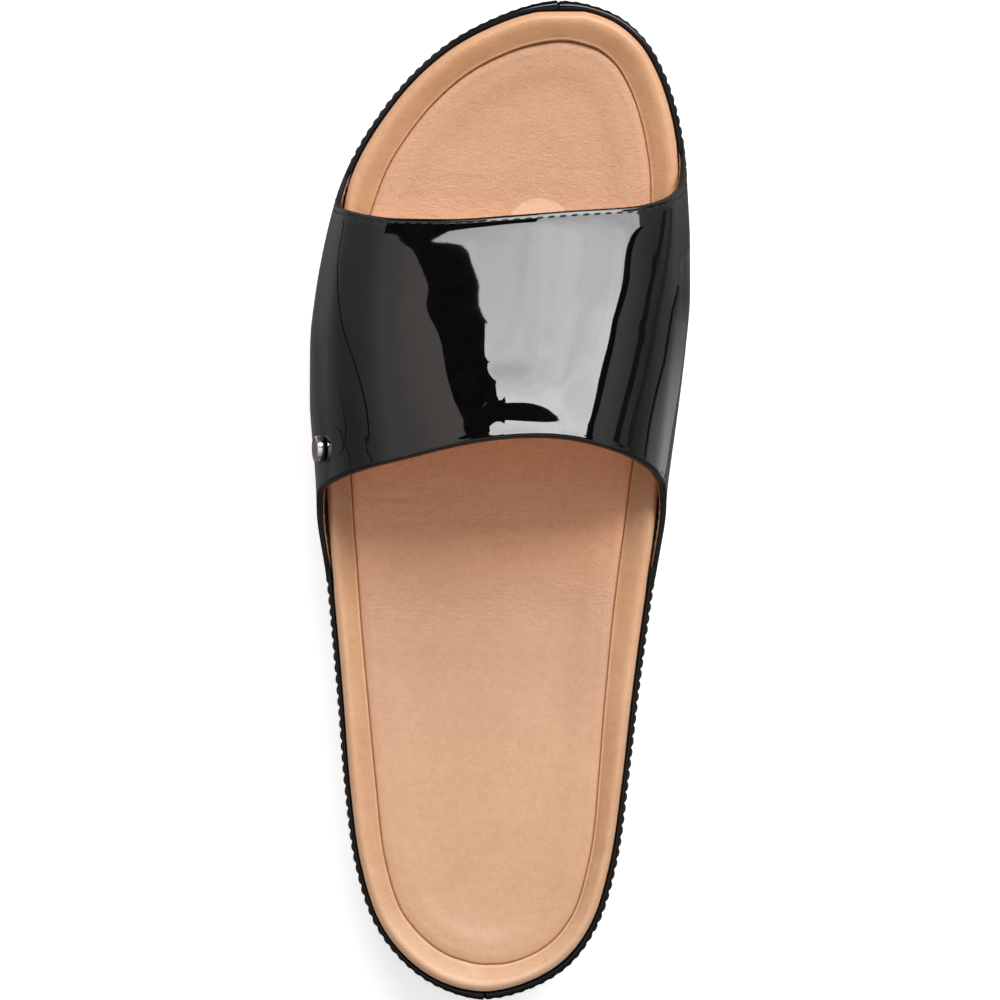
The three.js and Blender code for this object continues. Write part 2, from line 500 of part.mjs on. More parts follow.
const bounds = new THREE.Box3();
for (const { geometry } of pieces) { geometry.computeBoundingBox(); bounds.union(geometry.boundingBox); }
const centre = bounds.getCenter(new THREE.Vector3());

const group = new THREE.Group();
group.name = "platform_slide_sandal";
for (const { name, geometry, look } of pieces) {
  geometry.translate(-centre.x, -centre.y, -bounds.min.z);
  geometry.computeVertexNormals();
  const mesh = new THREE.Mesh(geometry, new THREE.MeshStandardMaterial(look));
  mesh.name = name;
  group.add(mesh);
}
export default group;
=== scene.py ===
import math

import bpy
import numpy as np
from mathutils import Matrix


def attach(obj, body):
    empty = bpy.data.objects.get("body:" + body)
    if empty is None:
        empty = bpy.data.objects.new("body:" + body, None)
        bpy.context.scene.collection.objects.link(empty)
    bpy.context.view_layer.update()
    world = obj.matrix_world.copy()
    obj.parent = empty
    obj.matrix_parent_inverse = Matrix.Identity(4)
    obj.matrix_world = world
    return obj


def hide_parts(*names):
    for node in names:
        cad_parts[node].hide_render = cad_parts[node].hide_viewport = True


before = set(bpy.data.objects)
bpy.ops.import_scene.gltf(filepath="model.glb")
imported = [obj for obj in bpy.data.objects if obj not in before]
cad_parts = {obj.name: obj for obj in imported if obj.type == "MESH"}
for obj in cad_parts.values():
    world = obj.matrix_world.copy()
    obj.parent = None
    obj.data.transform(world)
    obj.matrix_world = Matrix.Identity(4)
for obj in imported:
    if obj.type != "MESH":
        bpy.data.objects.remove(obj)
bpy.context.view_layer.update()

# ------------------------------------------------------------------ sizes, millimetres
# x runs from the outer to the inner side, y from the heel's end to the toe, z up from the ground
CENTRE_X, CENTRE_Y = 0.0496, 131.3520          # the frame's origin in these coordinates
SOLE_LENGTH, HEEL_END_X, HEEL_END_Y, TOE_END_X = 262.5, -4.4, 0.25, 16.0
RIB_PITCH, RIB_DEPTH = 2.94, 0.55
BAND_OUTER, BAND_INNER, BAND_HEIGHT = 0.6, 1.65, 5.6
BAND_JOIN_TOE_X, BAND_JOIN_HEEL_X = 15.1, -4.3
RIM_WALL, RIM_POCKET, CREST_HEEL, CREST_TOE, GAP = 2.4, 3.05, 1.0, 1.4, 0.3
POCKET_FROM, POCKET_FULL, POCKET_END, ROLL_END = 150.0, 175.0, {-1: 217.0, 1: 219.0}, {-1: 221.0, 1: 226.0}
ROLL_OPEN, ROLL_STRAP, ROLL_BACK, ROLL_RAMP = 0.55, 0.3, 104.0, 8.0
STRAP_THICK, STRAP_FOOT_THICK, STRAP_INSET, STRAP_POCKET_INSET = 2.0, 1.6, 0.15, 0.75
LEAN_SHARE, LEAN_RISE = 0.55, 4.0
HEEL_BAND = {-1: (108.4, 114.0), 1: (107.9, 113.4)}     # y at the bottom and the top of the slanted ends
TOE_BAND = {-1: (221.9, 217.4), 1: (226.9, 222.6)}
LINING_THICK, LINING_MARGIN = 0.32, 0.12
STITCH_PITCH, STITCH_LENGTH, STITCH_WIDTH, STITCH_IN = 3.0, 2.15, 0.58, 1.4
RIVET_Y, RIVET_TILT, RIVET_R, RIVET_H = 144.2, 15.5, 3.45, 1.9

OUTLINE = [  # y, outer x, inner x
    (3.1, -15.6, 8.3), (9.5, -25, 18.6), (20, -33, 25.9), (36, -38.2, 30.8), (56, -40.9, 33.7), (78, -42.7, 36.3),
    (100, -44.7, 39.3), (122, -46.8, 42.6), (144, -47.9, 45), (166, -48.35, 47.4), (186, -47.35, 49), (204, -44.75, 49.4),
    (220, -39.7, 49.2), (233, -31.9, 47.05), (244, -22.65, 43.3), (252, -13.05, 38.7), (258.2, -1.2, 31.8), (261.6, 8.8, 23.1),
]
HEIGHTS = [  # y, underside, wall's top
    (0, 1.6, 34.0), (14, 0, 33.7), (36, 0, 33.1), (60, 0, 32.0), (82, 0, 30.4), (104, 1.0, 28.6), (126, 1.0, 26.8),
    (146, 0, 25.2), (170, 0, 23.9), (194, 0, 23.4), (215, 1.3, 23.6), (235, 3.7, 24.6), (250, 6.2, 26.2), (262.2, 8.8, 28.0),
]
SEAM = [  # y, inset on the outer side, on the inner side
    (0.25, 9.7, 9.7), (1.5, 9.6, 9), (4, 9.2, 8.6), (9.5, 8.8, 8.2), (15, 8.5, 7.8), (22, 8.2, 7.5), (34, 8.2, 7.55), (45, 8.4, 7.65),
    (57.5, 8.5, 8.15), (70, 8.3, 8.6), (81, 8.15, 8.95), (93, 8.1, 9.45), (105, 8.3, 9.85), (117, 8.65, 10.15), (128, 8.65, 10.1), (137, 8.5, 9.8),
    (150, 8.7, 9.6), (180, 9.3, 9.6), (205, 9.7, 9.7), (216, 9.95, 9.85), (228, 9.75, 10.15), (240, 9.8, 10.3), (250, 10, 10.55), (258.2, 10.3, 10.8),
    (262.5, 11, 11),
]
RIM_MORE = [  # y, how much further in than RIM_WALL the rim stands, on the outer side and on the inner side
    (0.25, 1.1, 1.1), (3, 0.7, 1), (10, 0.4, 0.85), (20, 0.25, 0.55), (36, 0.2, 0.45), (60, 0.1, 0.3), (104, 0.15, 0.4), (150, 0.1, 0.3),
    (210, 0.1, 0.3), (222, 0.5, 0.6), (240, 0.5, 0.6), (250, 0.75, 0.75), (258.2, 0.95, 1.05), (261.5, 1.25, 1.15), (262.5, 1.9, 1.9),
]
SECTIONS = [  # y, widest outer x, widest inner x, crest x, crest z
    (104, -44.9, 40.25, 4.5, 98), (112, -45.8, 41.25, 4.8, 96.3), (118.5, -46.7, 42.15, 5.1, 94.8), (126.5, -47.8, 43.25, 5.4, 93),
    (133, -48.05, 43.6, 5.65, 91.3), (142, -48.65, 44.8, 6, 89), (157, -49.75, 46.95, 6.6, 84.7), (172, -49.7, 48.8, 7.2, 80),
    (185, -48.4, 49.85, 7.8, 75.8), (198, -46.1, 49.85, 8.4, 71.6), (211, -42.85, 49.3, 9.2, 67.4), (224, -38, 48.25, 10, 63.4),
    (236, -30.6, 46, 11, 60),
]
ARCH_OUTER = [(0.0, 0.17), (0.018, 0.42), (0.063, 0.64), (0.157, 0.835), (0.315, 0.945)]   # share of width in, share of height
ARCH_INNER = [(0.27, 0.955), (0.135, 0.85), (0.055, 0.65), (0.022, 0.43), (0.0, 0.19)]
EDGES = [  # u round the strap from its outer foot, back edge y, front edge y
    (0.0, 109.0, 221.0), (0.018, 112.3, 218.2), (0.035, 116.0, 215.3), (0.05, 120.6, 212.0), (0.065, 125.6, 209.9), (0.08, 129.6, 208.7),
    (0.1, 132.2, 207.9), (0.125, 133.7, 207.3), (0.16, 134.7, 206.7), (0.2, 135.6, 205.7), (0.25, 137.2, 204.5), (0.3, 139.0, 203.6),
    (0.4, 143.0, 203.2), (0.5, 146.4, 204.1), (0.6, 146.6, 205.3), (0.7, 142.0, 206.4), (0.75, 139.4, 207.7), (0.8, 137.8, 209.3),
    (0.84, 136.6, 210.6), (0.87, 135.7, 211.6), (0.9, 134.0, 213.0), (0.92, 131.6, 214.9), (0.94, 127.4, 217.6), (0.96, 121.4, 220.3),
    (0.98, 114.6, 223.0), (1.0, 108.5, 226.0),
]


# ------------------------------------------------------------------ curves
def column(rows, k):
    x = np.array([r[0] for r in rows], float)
    v = np.array([r[k] for r in rows], float)
    h = np.diff(x)
    d = np.diff(v) / h
    m = np.zeros(len(x))
    m[0], m[-1] = d[0], d[-1]
    for i in range(1, len(x) - 1):
        m[i] = 0 if d[i - 1] * d[i] <= 0 else 2 * d[i - 1] * d[i] / (d[i - 1] + d[i])

    def f(q):
        q = np.clip(np.asarray(q, float), x[0], x[-1])
        i = np.clip(np.searchsorted(x, q, side="left") - 1, 0, len(x) - 2)
        t = (q - x[i]) / h[i]
        t2, t3 = t * t, t * t * t
        return (2 * t3 - 3 * t2 + 1) * v[i] + (t3 - 2 * t2 + t) * h[i] * m[i] + (3 * t2 - 2 * t3) * v[i + 1] + (t3 - t2) * h[i] * m[i + 1]

    return f


def smooth(a, b, x):
    t = np.clip((np.asarray(x, float) - a) / (b - a), 0, 1)
    return t * t * (3 - 2 * t)


def bump(x, at, half):
    """1 at the place, falling softly to 0 at half either side"""
    t = np.clip(np.abs(np.asarray(x, float) - at) / half, 0, 1)
    return (1 - t * t) ** 2


def spline_at(P, seg, t, closed=False):
    M, K, D = P.shape
    r = np.arange(M).reshape((M,) + (1,) * (seg.ndim - 1))

    def g(i):
        if closed:
            return P[r, i % K]
        mid = P[r, np.clip(i, 0, K - 1)]
        shape = (M,) + (1,) * (seg.ndim - 1) + (D,)
        a = (2 * P[:, 0] - P[:, 1]).reshape(shape)
        b = (2 * P[:, -1] - P[:, -2]).reshape(shape)
        return np.where((i < 0)[..., None], a, np.where((i > K - 1)[..., None], b, mid))

    p0, p1, p2, p3 = g(seg - 1), g(seg), g(seg + 1), g(seg + 2)
    d0, d1, d2 = [(np.sum((a - b) ** 2, -1) ** 0.25)[..., None] for a, b in ((p0, p1), (p1, p2), (p2, p3))]
    t1 = ((p1 - p0) / d0 - (p2 - p0) / (d0 + d1) + (p2 - p1) / d1) * d1
    t2 = ((p2 - p1) / d1 - (p3 - p1) / (d1 + d2) + (p3 - p2) / d2) * d1
    t = t[..., None]
    return p1 + t1 * t + (-3 * p1 + 3 * p2 - 2 * t1 - t2) * t * t + (2 * p1 - 2 * p2 + t1 + t2) * t**3


def outline(n, div=4000):
    """points at equal steps round the rib tips, inward normals, side, distance run, length round"""
    pts = [(HEEL_END_X, HEEL_END_Y)] + [(m, y) for y, l, m in OUTLINE] + [(TOE_END_X, SOLE_LENGTH)] + [(l, y) for y, l, m in OUTLINE[::-1]]
    P = np.array(pts, float)[None]
    K = P.shape[1]

    def ev(s):
        s = np.asarray(s) % 1.0 * K
        i = np.floor(s).astype(int)
        return spline_at(P, i[None], (s - i)[None], True)[0]

    s = np.arange(div + 1) / div
    q = ev(np.where(s == 1, 0, s))
    L = np.concatenate([[0], np.cumsum(np.linalg.norm(np.diff(q, axis=0), axis=1))])
    run = np.arange(n) / n * L[-1]
    tt = np.interp(run, L, s)
    p = ev(tt)
    e = 2e-4
    t = ev((tt + e) % 1) - ev((tt - e) % 1)
    t /= np.linalg.norm(t, axis=1)[:, None]
    # the spline's bends are evened out a little, so that gloss runs cleanly round it
    k = max(1, int(n * 5.0 / L[-1]))
    w = np.exp(-0.5 * (np.arange(-3 * k, 3 * k + 1) / k) ** 2)
    w /= w.sum()
    ang = np.unwrap(np.arctan2(t[:, 1], t[:, 0]))
    turn = ang - np.arange(n) / n * 2 * math.pi
    wrap = np.concatenate([turn[-3 * k:], turn, turn[: 3 * k]])
    ang = np.convolve(wrap, w, "valid") + np.arange(n) / n * 2 * math.pi
    nrm = np.stack([-np.sin(ang), np.cos(ang)], 1)
    return {"p": p, "n": nrm, "side": np.where(np.cos(ang + math.pi / 2) < 0, 1, -1), "run": run, "length": L[-1]}


under, wall_top = column(HEIGHTS, 1), column(HEIGHTS, 2)
_seam = {-1: column(SEAM, 1), 1: column(SEAM, 2)}
_more = {-1: column(RIM_MORE, 1), 1: column(RIM_MORE, 2)}
_outer_x, _inner_x = column(OUTLINE, 1), column(OUTLINE, 2)


def seam_inset(ring):
    # the two sides meet at the ends with the same value, and blend there
    y, s = ring["p"][:, 1], ring["side"]
    return np.where(s > 0, _seam[1](y), _seam[-1](y))


def rim_more(p, s):
    return np.where(s > 0, _more[1](p[:, 1]), _more[-1](p[:, 1]))


def pocket(ring):
    """how far the strap stands inside the sole's edge, 0 to 1"""
    y, s = ring["p"][:, 1], ring["side"]
    end = np.where(s > 0, POCKET_END[1], POCKET_END[-1])
    t = np.clip((y - (end - 10)) / 10, 0, 1)
    return smooth(POCKET_FROM, POCKET_FULL, y) * (1 - t * t * (3 - 2 * t))


def in_strap(ring):
    y, s = ring["p"][:, 1], ring["side"]
    end = np.where(s > 0, ROLL_END[1], ROLL_END[-1])
    t = np.clip((y - (end - ROLL_RAMP)) / ROLL_RAMP, 0, 1)
    return smooth(ROLL_BACK, ROLL_BACK + ROLL_RAMP, y) * (1 - t * t * (3 - 2 * t))


def inset(ring, d):
    return ring["p"] + ring["n"] * np.asarray(d, float).reshape(-1, 1)


def middle_x(y):
    return (_outer_x(y) + _inner_x(y)) / 2


def toward_spine(q, share, back=38.0, front=214.0):
    y = np.clip(q[:, 1], back, front)
    return q + (np.stack([middle_x(y), y], 1) - q) * share


def lift(q, z):
    return np.concatenate([q, np.broadcast_to(np.asarray(z, float), (len(q),))[:, None]], 1)


def waves(p, seed, scale, octaves=2):
    """smooth seeded undulation from -1 to 1 over the points, scale in mm"""
    rng = np.random.default_rng(seed)
    out, amp, total = np.zeros(len(p)), 1.0, 0.0
    for o in range(octaves):
        for _ in range(6):
            d = rng.normal(size=p.shape[1])
            d /= np.linalg.norm(d)
            k = 2 * math.pi / (scale / (1.9**o)) * rng.uniform(0.75, 1.3)
            out += amp / 6 * np.sin(p @ d * k + rng.uniform(0, 2 * math.pi))
        total += amp * 0.42
        amp *= 0.5
    return out / total


# ------------------------------------------------------------------ meshes
def to_frame(p):
    q = np.array(p, float)
    q[:, 0] -= CENTRE_X
    q[:, 1] -= CENTRE_Y
    return q / 1000.0


def new_object(name, points, faces, materials, face_material=None, attributes=None, sharp=None):
    mesh = bpy.data.meshes.new(name)
    mesh.from_pydata(to_frame(points).tolist(), [], [tuple(int(i) for i in f) for f in faces])
    for m in materials:
        mesh.materials.append(m)
    mesh.polygons.foreach_set("use_smooth", [True] * len(mesh.polygons))
    if face_material is not None:
        mesh.polygons.foreach_set("material_index", [int(v) for v in face_material])
    for key, values in (attributes or {}).items():
        a = mesh.attributes.new(key, "FLOAT", "POINT")
        a.data.foreach_set("value", [float(v) for v in values])
    mesh.update()
    mesh.validate()
    obj = bpy.data.objects.new(name, mesh)
    bpy.context.scene.collection.objects.link(obj)
    return obj


def ring_faces(n, k, closed=False):
    """quads between k rings of n points"""
    i = np.arange(n)
    j = (i + 1) % n
    out = []
    for r in range(k if closed else k - 1):
        a, b = r * n, ((r + 1) % k) * n
        out.append(np.stack([a + i, a + j, b + j, b + i], 1))
    return np.concatenate(out)


def cap_faces(ring, offset, up):
    n = len(ring)
    low = int(ring[:, 1].argmin())
    a, b, out = (low + 1) % n, (low - 1) % n, []

    def put(p, q, r):
        out.append((offset + p, offset + q, offset + r) if up else (offset + p, offset + r, offset + q))

    put(low, a, b)
    while (a + 1) % n != b:
        na, nb = (a + 1) % n, (b - 1) % n
        if ring[na, 1] <= ring[nb, 1]:
            put(a, na, b)
            a = na
        else:
            put(a, nb, b)
            b = nb
    return out


def ring_solid(name, rings, materials, attributes=None):
    n = len(rings[0])
    faces = [tuple(f) for f in ring_faces(n, len(rings))]
    faces += cap_faces(rings[0], 0, False) + cap_faces(rings[-1], (len(rings) - 1) * n, True)
    return new_object(name, np.concatenate(rings), faces, materials, attributes=attributes)


def profile(points, count):
    """a smooth curve through (d, rise) control points, count samples at equal steps"""
    P = np.array(points, float)[None]
    K = P.shape[1]
    t = np.linspace(0, K - 1, 40 * K)
    i = np.minimum(np.floor(t).astype(int), K - 2)
    q = spline_at(P, i[None], (t - i)[None])[0]
    L = np.concatenate([[0], np.cumsum(np.linalg.norm(np.diff(q, axis=0), axis=1))])
    s = np.linspace(0, L[-1], count)
    return np.stack([np.interp(s, L, q[:, k]) for k in range(P.shape[2])], 1)


# ------------------------------------------------------------------ the strap's surface
def _foot_line():
    ring = outline(720)
    q = inset(ring, STRAP_INSET + (STRAP_POCKET_INSET - STRAP_INSET) * pocket(ring))
    lines = {}
    for side in (-1, 1):
        a = q[ring["side"] == side]
        o = np.argsort(a[:, 1])
        lines[side] = (a[o, 1], a[o, 0])
    return lines


_foot = _foot_line()


def strap_section(u, y):
    sec = {k: column(SECTIONS, i + 1)(y) for i, k in enumerate(("outer", "inner", "cx", "cz"))}
    z0 = wall_top(y) + GAP
    W, H = sec["inner"] - sec["outer"], sec["cz"] - z0
    fo, fi = np.interp(y, *_foot[-1]), np.interp(y, *_foot[1])
    cols = [(fo, z0), (fo + (sec["outer"] - fo) * LEAN_SHARE, z0 + LEAN_RISE)]
    cols += [(sec["outer"] + W * i, z0 + H * h) for i, h in ARCH_OUTER] + [(sec["cx"], sec["cz"])]
    cols += [(sec["inner"] - W * i, z0 + H * h) for i, h in ARCH_INNER] + [(fi + (sec["inner"] - fi) * LEAN_SHARE, z0 + LEAN_RISE), (fi, z0)]
    P = np.stack([np.stack(c, -1) for c in cols], 1)
    K, M, div = P.shape[1], len(y), 160
    t = np.arange(div + 1) / div * (K - 1)
    i = np.minimum(np.floor(t).astype(int), K - 2)
    q = spline_at(P, np.broadcast_to(i, (M, div + 1)), np.broadcast_to(t - i, (M, div + 1)))
    L = np.concatenate([np.zeros((M, 1)), np.cumsum(np.linalg.norm(np.diff(q, axis=1), axis=2), axis=1)], 1)
    target = np.clip(u, 0, 1) * L[:, -1]
    k = np.clip((L <= target[:, None]).sum(1) - 1, 0, div - 1)
    r = np.arange(M)
    tt = (k + (target - L[r, k]) / (L[r, k + 1] - L[r, k])) / div * (K - 1)
    i = np.minimum(np.floor(tt).astype(int), K - 2)
    p = spline_at(P, i[:, None], (tt - i)[:, None])[:, 0]
    return np.stack([p[:, 0], y, p[:, 1]], 1), L[:, -1]


class StrapSurface:
    """the strap's outer face, evened out by a cubic B-spline over a coarse grid, so that its gloss has no kinks"""

    NU, NY, Y0, Y1 = 90, 40, 104.0, 236.0

    def __init__(self):
        self.u = np.linspace(0, 1, self.NU + 1)
        self.y = np.linspace(self.Y0, self.Y1, self.NY + 1)
        uu, yy = np.meshgrid(self.u, self.y, indexing="ij")
        pts, length = strap_section(uu.ravel(), yy.ravel())
        grid = pts.reshape(self.NU + 1, self.NY + 1, 3)[..., [0, 2]]
        self.length = column([(a, b) for a, b in zip(self.y, length.reshape(self.NU + 1, -1)[0])], 1)
        # a row and a column of guard points on every side
        g = np.concatenate([2 * grid[:1] - grid[1:2], grid, 2 * grid[-1:] - grid[-2:-1]], 0)
        self.grid = np.concatenate([2 * g[:, :1] - g[:, 1:2], g, 2 * g[:, -1:] - g[:, -2:-1]], 1)

    @staticmethod
    def basis(t):
        return np.stack([(1 - t) ** 3, 3 * t**3 - 6 * t**2 + 4, -3 * t**3 + 3 * t**2 + 3 * t + 1, t**3], -1) / 6

    def at(self, u, y):
        u, y = np.asarray(u, float), np.asarray(y, float)
        a = np.clip(u, 0, 1) * self.NU
        b = np.clip((y - self.Y0) / (self.Y1 - self.Y0), 0, 1) * self.NY
        i, j = np.minimum(a.astype(int), self.NU - 1), np.minimum(b.astype(int), self.NY - 1)
        wu, wy = self.basis(a - i), self.basis(b - j)
        out = np.zeros(u.shape + (2,))
        for p in range(4):
            for q in range(4):
                out += (wu[..., p] * wy[..., q])[..., None] * self.grid[i + p, j + q]
        return np.stack([out[..., 0], y, out[..., 1]], -1)

    def normal(self, u, y):
        e = 0.0015
        a = self.at(np.minimum(u + e, 1), y) - self.at(np.maximum(u - e, 0), y)
        b = self.at(u, y + 0.25) - self.at(u, y - 0.25)
        n = np.cross(a, b)
        return n / np.linalg.norm(n, axis=-1, keepdims=True)


strap_face = StrapSurface()
_back = column(EDGES, 1)
_front = column(EDGES, 2)


def edge_curves(u):
    """the two free edges, their own corners evened out"""
    e = 0.006
    back = sum(w * _back(np.clip(u + k * e, 0, 1)) for k, w in ((-2, 0.12), (-1, 0.22), (0, 0.32), (1, 0.22), (2, 0.12)))
    front = sum(w * _front(np.clip(u + k * e, 0, 1)) for k, w in ((-2, 0.12), (-1, 0.22), (0, 0.32), (1, 0.22), (2, 0.12)))
    fade = smooth(0, 0.02, np.minimum(u, 1 - u))
    wide = sum(w * _back(np.clip(u + k * 0.028, 0, 1)) for k, w in ((-3, 0.05), (-2, 0.12), (-1, 0.21), (0, 0.24), (1, 0.21), (2, 0.12), (3, 0.05)))
    high = smooth(0.2, 0.34, u) * (1 - smooth(0.78, 0.86, u))
    back = back * (1 - high) + (wide + 0.75 * bump(u, 0.55, 0.2) + 0.25 * bump(u, 0.73, 0.08)) * high
    return _back(u) * (1 - fade) + back * fade, _front(u) * (1 - fade) + front * fade


def edge_slant(u, which):
    """how fast a step along y leaves an edge, 0 to 1"""
    e = 0.004
    ua, ub = np.clip(u - e, 0, 1), np.clip(u + e, 0, 1)
    a = strap_face.at(ua, edge_curves(ua)[which])
    b = strap_face.at(ub, edge_curves(ub)[which])
    t = (b - a) / np.linalg.norm(b - a, axis=-1, keepdims=True)
    y = edge_curves(u)[which]
    s = strap_face.at(u, y + 0.3) - strap_face.at(u, y - 0.3)
    s /= np.linalg.norm(s, axis=-1, keepdims=True)
    sin = np.linalg.norm(np.cross(t, s), axis=-1)
    return np.clip(sin, 0.35, 1)


# ------------------------------------------------------------------ materials
def material(name):
    m = bpy.data.materials.new(name)
    m.use_nodes = True
    return m, m.node_tree, m.node_tree.nodes["Principled BSDF"]


def put(node, **values):
    for key, v in values.items():
        node.inputs[key.replace("_", " ")].default_value = v
    return node


def noise(t, scale, detail=3.0, rough=0.5, distortion=0.0, vector=None):
    n = t.nodes.new("ShaderNodeTexNoise")
    put(n, Scale=scale, Detail=detail, Roughness=rough, Distortion=distortion)
    if vector is not None:
        t.links.new(vector, n.inputs["Vector"])
    return n


def object_coords(t):
    return t.nodes.new("ShaderNodeTexCoord").outputs["Object"]


def add_bump(t, height, distance, strength=1.0, before=None):
    b = t.nodes.new("ShaderNodeBump")
    put(b, Strength=strength, Distance=distance)
    t.links.new(height, b.inputs["Height"])
    if before is not None:
        t.links.new(before, b.inputs["Normal"])
    return b.outputs["Normal"]


def ramp(t, fac, stops):
    r = t.nodes.new("ShaderNodeValToRGB")
    while len(r.color_ramp.elements) < len(stops):
        r.color_ramp.elements.new(0.5)
    for e, (at, colour) in zip(r.color_ramp.elements, stops):
        e.position = at
        e.color = (*colour, 1.0) if len(colour) == 3 else colour
    t.links.new(fac, r.inputs["Fac"])
    return r.outputs["Color"]


def mix(t, kind, fac, a, b):
    n = t.nodes.new("ShaderNodeMix")
    n.data_type = "RGBA"
    n.blend_type = kind
    ins = [s for s in n.inputs if s.type == "RGBA"]
    for sock, v in ((n.inputs[0], fac), (ins[0], a), (ins[1], b)):
        if isinstance(v, bpy.types.NodeSocket):
            t.links.new(v, sock)
        else:
            sock.default_value = v if not isinstance(v, tuple) or len(v) == 4 else (*v, 1.0)
    return [s for s in n.outputs if s.type == "RGBA"][0]


def math_node(t, op, a, b=0.0, c=None):
    n = t.nodes.new("ShaderNodeMath")
    n.operation = op
    for sock, v in zip(n.inputs, (a, b, c)):
        if v is None:
            continue
        if isinstance(v, bpy.types.NodeSocket):
            t.links.new(v, sock)
        else:
            sock.default_value = v
    return n.outputs[0]


def attribute(t, name):
    n = t.nodes.new("ShaderNodeAttribute")
    n.attribute_name = name
    return n.outputs["Fac"]


def patent(name, swirl=0.000008, coat=1.0, gloss=0.02):
    m, t, s = material(name)
    put(s, Roughness=0.32, Coat_Weight=coat, Coat_Roughness=gloss, Coat_IOR=1.5, Specular_IOR_Level=0.0)
    at = object_coords(t)
    tone = noise(t, 260.0, 4.0, 0.6, vector=at)
    t.links.new(ramp(t, tone.outputs["Fac"], [(0.3, (0.0010, 0.0010, 0.0012)), (0.7, (0.0024, 0.0023, 0.0024))]), s.inputs["Base Color"])
    slow = noise(t, 62.0, 2.0, 0.45, 0.4, vector=at)
    fine = noise(t, 520.0, 2.0, 0.5, vector=at)
    n = add_bump(t, slow.outputs["Fac"], swirl)
    n = add_bump(t, fine.outputs["Fac"], 0.0000008, before=n)
    t.links.new(n, s.inputs["Normal"])
    t.links.new(n, s.inputs["Coat Normal"])
    return m


def tan_leather(name, base, dark, light, grain=1.0, rough=0.5, coat=0.12, painted_light_lengthwise=None, pebble=None, spot=None):
    m, t, s = material(name)
    put(s, Roughness=rough, Coat_Weight=coat, Coat_Roughness=0.38, Specular_IOR_Level=0.4)
    at = object_coords(t)
    big = noise(t, 28.0, 3.0, 0.55, 0.6, vector=at)
    small = noise(t, 420.0, 3.0, 0.6, vector=at)
    colour = ramp(t, big.outputs["Fac"], [(0.32, dark), (0.5, base), (0.68, light)])
    pores = t.nodes.new("ShaderNodeTexVoronoi")
    pores.feature = "DISTANCE_TO_EDGE"
    put(pores, Scale=1150.0, Randomness=1.0)
    t.links.new(at, pores.inputs["Vector"])
    line = ramp(t, pores.outputs["Distance"], [(0.0, (0.80, 0.76, 0.72)), (0.09, (1.0, 1.0, 1.0))])
    colour = mix(t, "MULTIPLY", 0.55, colour, line)
    fleck = ramp(t, small.outputs["Fac"], [(0.35, (0.93, 0.91, 0.89)), (0.65, (1.0, 1.0, 1.0))])
    colour = mix(t, "MULTIPLY", 0.8, colour, fleck)
    axes = t.nodes.new("ShaderNodeSeparateXYZ")
    t.links.new(at, axes.inputs[0])
    along_ = math_node(t, "MULTIPLY_ADD", axes.outputs["Y"], 3.5, 0.5)
    # painted light and shade: the colour is multiplied by a ramp along the length, standing in for how the light falls
    # on each part
    if painted_light_lengthwise:
        colour = mix(t, "MULTIPLY", 1.0, colour, ramp(t, along_, painted_light_lengthwise))
    smooth_spot = None
    if spot:
        x, y, r, tone = spot
        dx, dy = math_node(t, "SUBTRACT", axes.outputs["X"], x), math_node(t, "SUBTRACT", axes.outputs["Y"], y)
        gap = math_node(t, "SQRT", math_node(t, "ADD", math_node(t, "MULTIPLY", dx, dx), math_node(t, "MULTIPLY", dy, dy)))
        smooth_spot = math_node(t, "DIVIDE", gap, r)
        colour = mix(t, "MULTIPLY", 1.0, colour, ramp(t, math_node(t, "MULTIPLY", smooth_spot, 0.5), [(0.46, tone), (0.5, (1.0, 1.0, 1.0))]))
    t.links.new(colour, s.inputs["Base Color"])
    shine = math_node(t, "MULTIPLY_ADD", small.outputs["Fac"], 0.16, rough - 0.08)
    t.links.new(shine, s.inputs["Roughness"])
    stretched = t.nodes.new("ShaderNodeMapping")
    put(stretched, Scale=(1.0, 2.6, 1.0))
    t.links.new(at, stretched.inputs["Vector"])
    folds = noise(t, 150.0, 4.0, 0.55, 1.1, vector=stretched.outputs["Vector"])
    if pebble:
        put(stretched, Scale=(1.0, 1.7, 1.0), Rotation=(0.0, 0.0, 0.3))
        put(folds, Scale=360.0, Detail=3.0, Roughness=0.6, Distortion=1.3)
        amount = ramp(t, along_, pebble)
        if smooth_spot is not None:
            amount = mix(t, "MULTIPLY", 1.0, amount, ramp(t, math_node(t, "MULTIPLY", smooth_spot, 0.5), [(0.42, (0.15, 0.15, 0.15)), (0.5, (1.0, 1.0, 1.0))]))
        height = math_node(t, "MULTIPLY", math_node(t, "SUBTRACT", folds.outputs["Fac"], 0.5), amount)
        n = add_bump(t, height, 0.00022 * grain, 0.8)
    else:
        n = add_bump(t, folds.outputs["Fac"], 0.00024 * grain, 0.8)
    n = add_bump(t, line, 0.00004 * grain, 0.8, before=n)
    n = add_bump(t, small.outputs["Fac"], 0.00005 * grain, 0.6, before=n)
    t.links.new(n, s.inputs["Normal"])
    return m


def rubber(name, tone=0.011, rough=0.42, coat=0.25):
    m, t, s = material(name)
    put(s, Specular_IOR_Level=0.35, Coat_Weight=coat, Coat_Roughness=0.22)
    at = object_coords(t)
    big = noise(t, 60.0, 4.0, 0.6, vector=at)
    fine = noise(t, 900.0, 3.0, 0.6, vector=at)
    t.links.new(ramp(t, big.outputs["Fac"], [(0.3, (tone * 0.8,) * 3), (0.7, (tone * 1.25,) * 3)]), s.inputs["Base Color"])
    t.links.new(math_node(t, "MULTIPLY_ADD", big.outputs["Fac"], 0.14, rough - 0.07), s.inputs["Roughness"])
    t.links.new(add_bump(t, fine.outputs["Fac"], 0.00003, 0.7), s.inputs["Normal"])
    return m


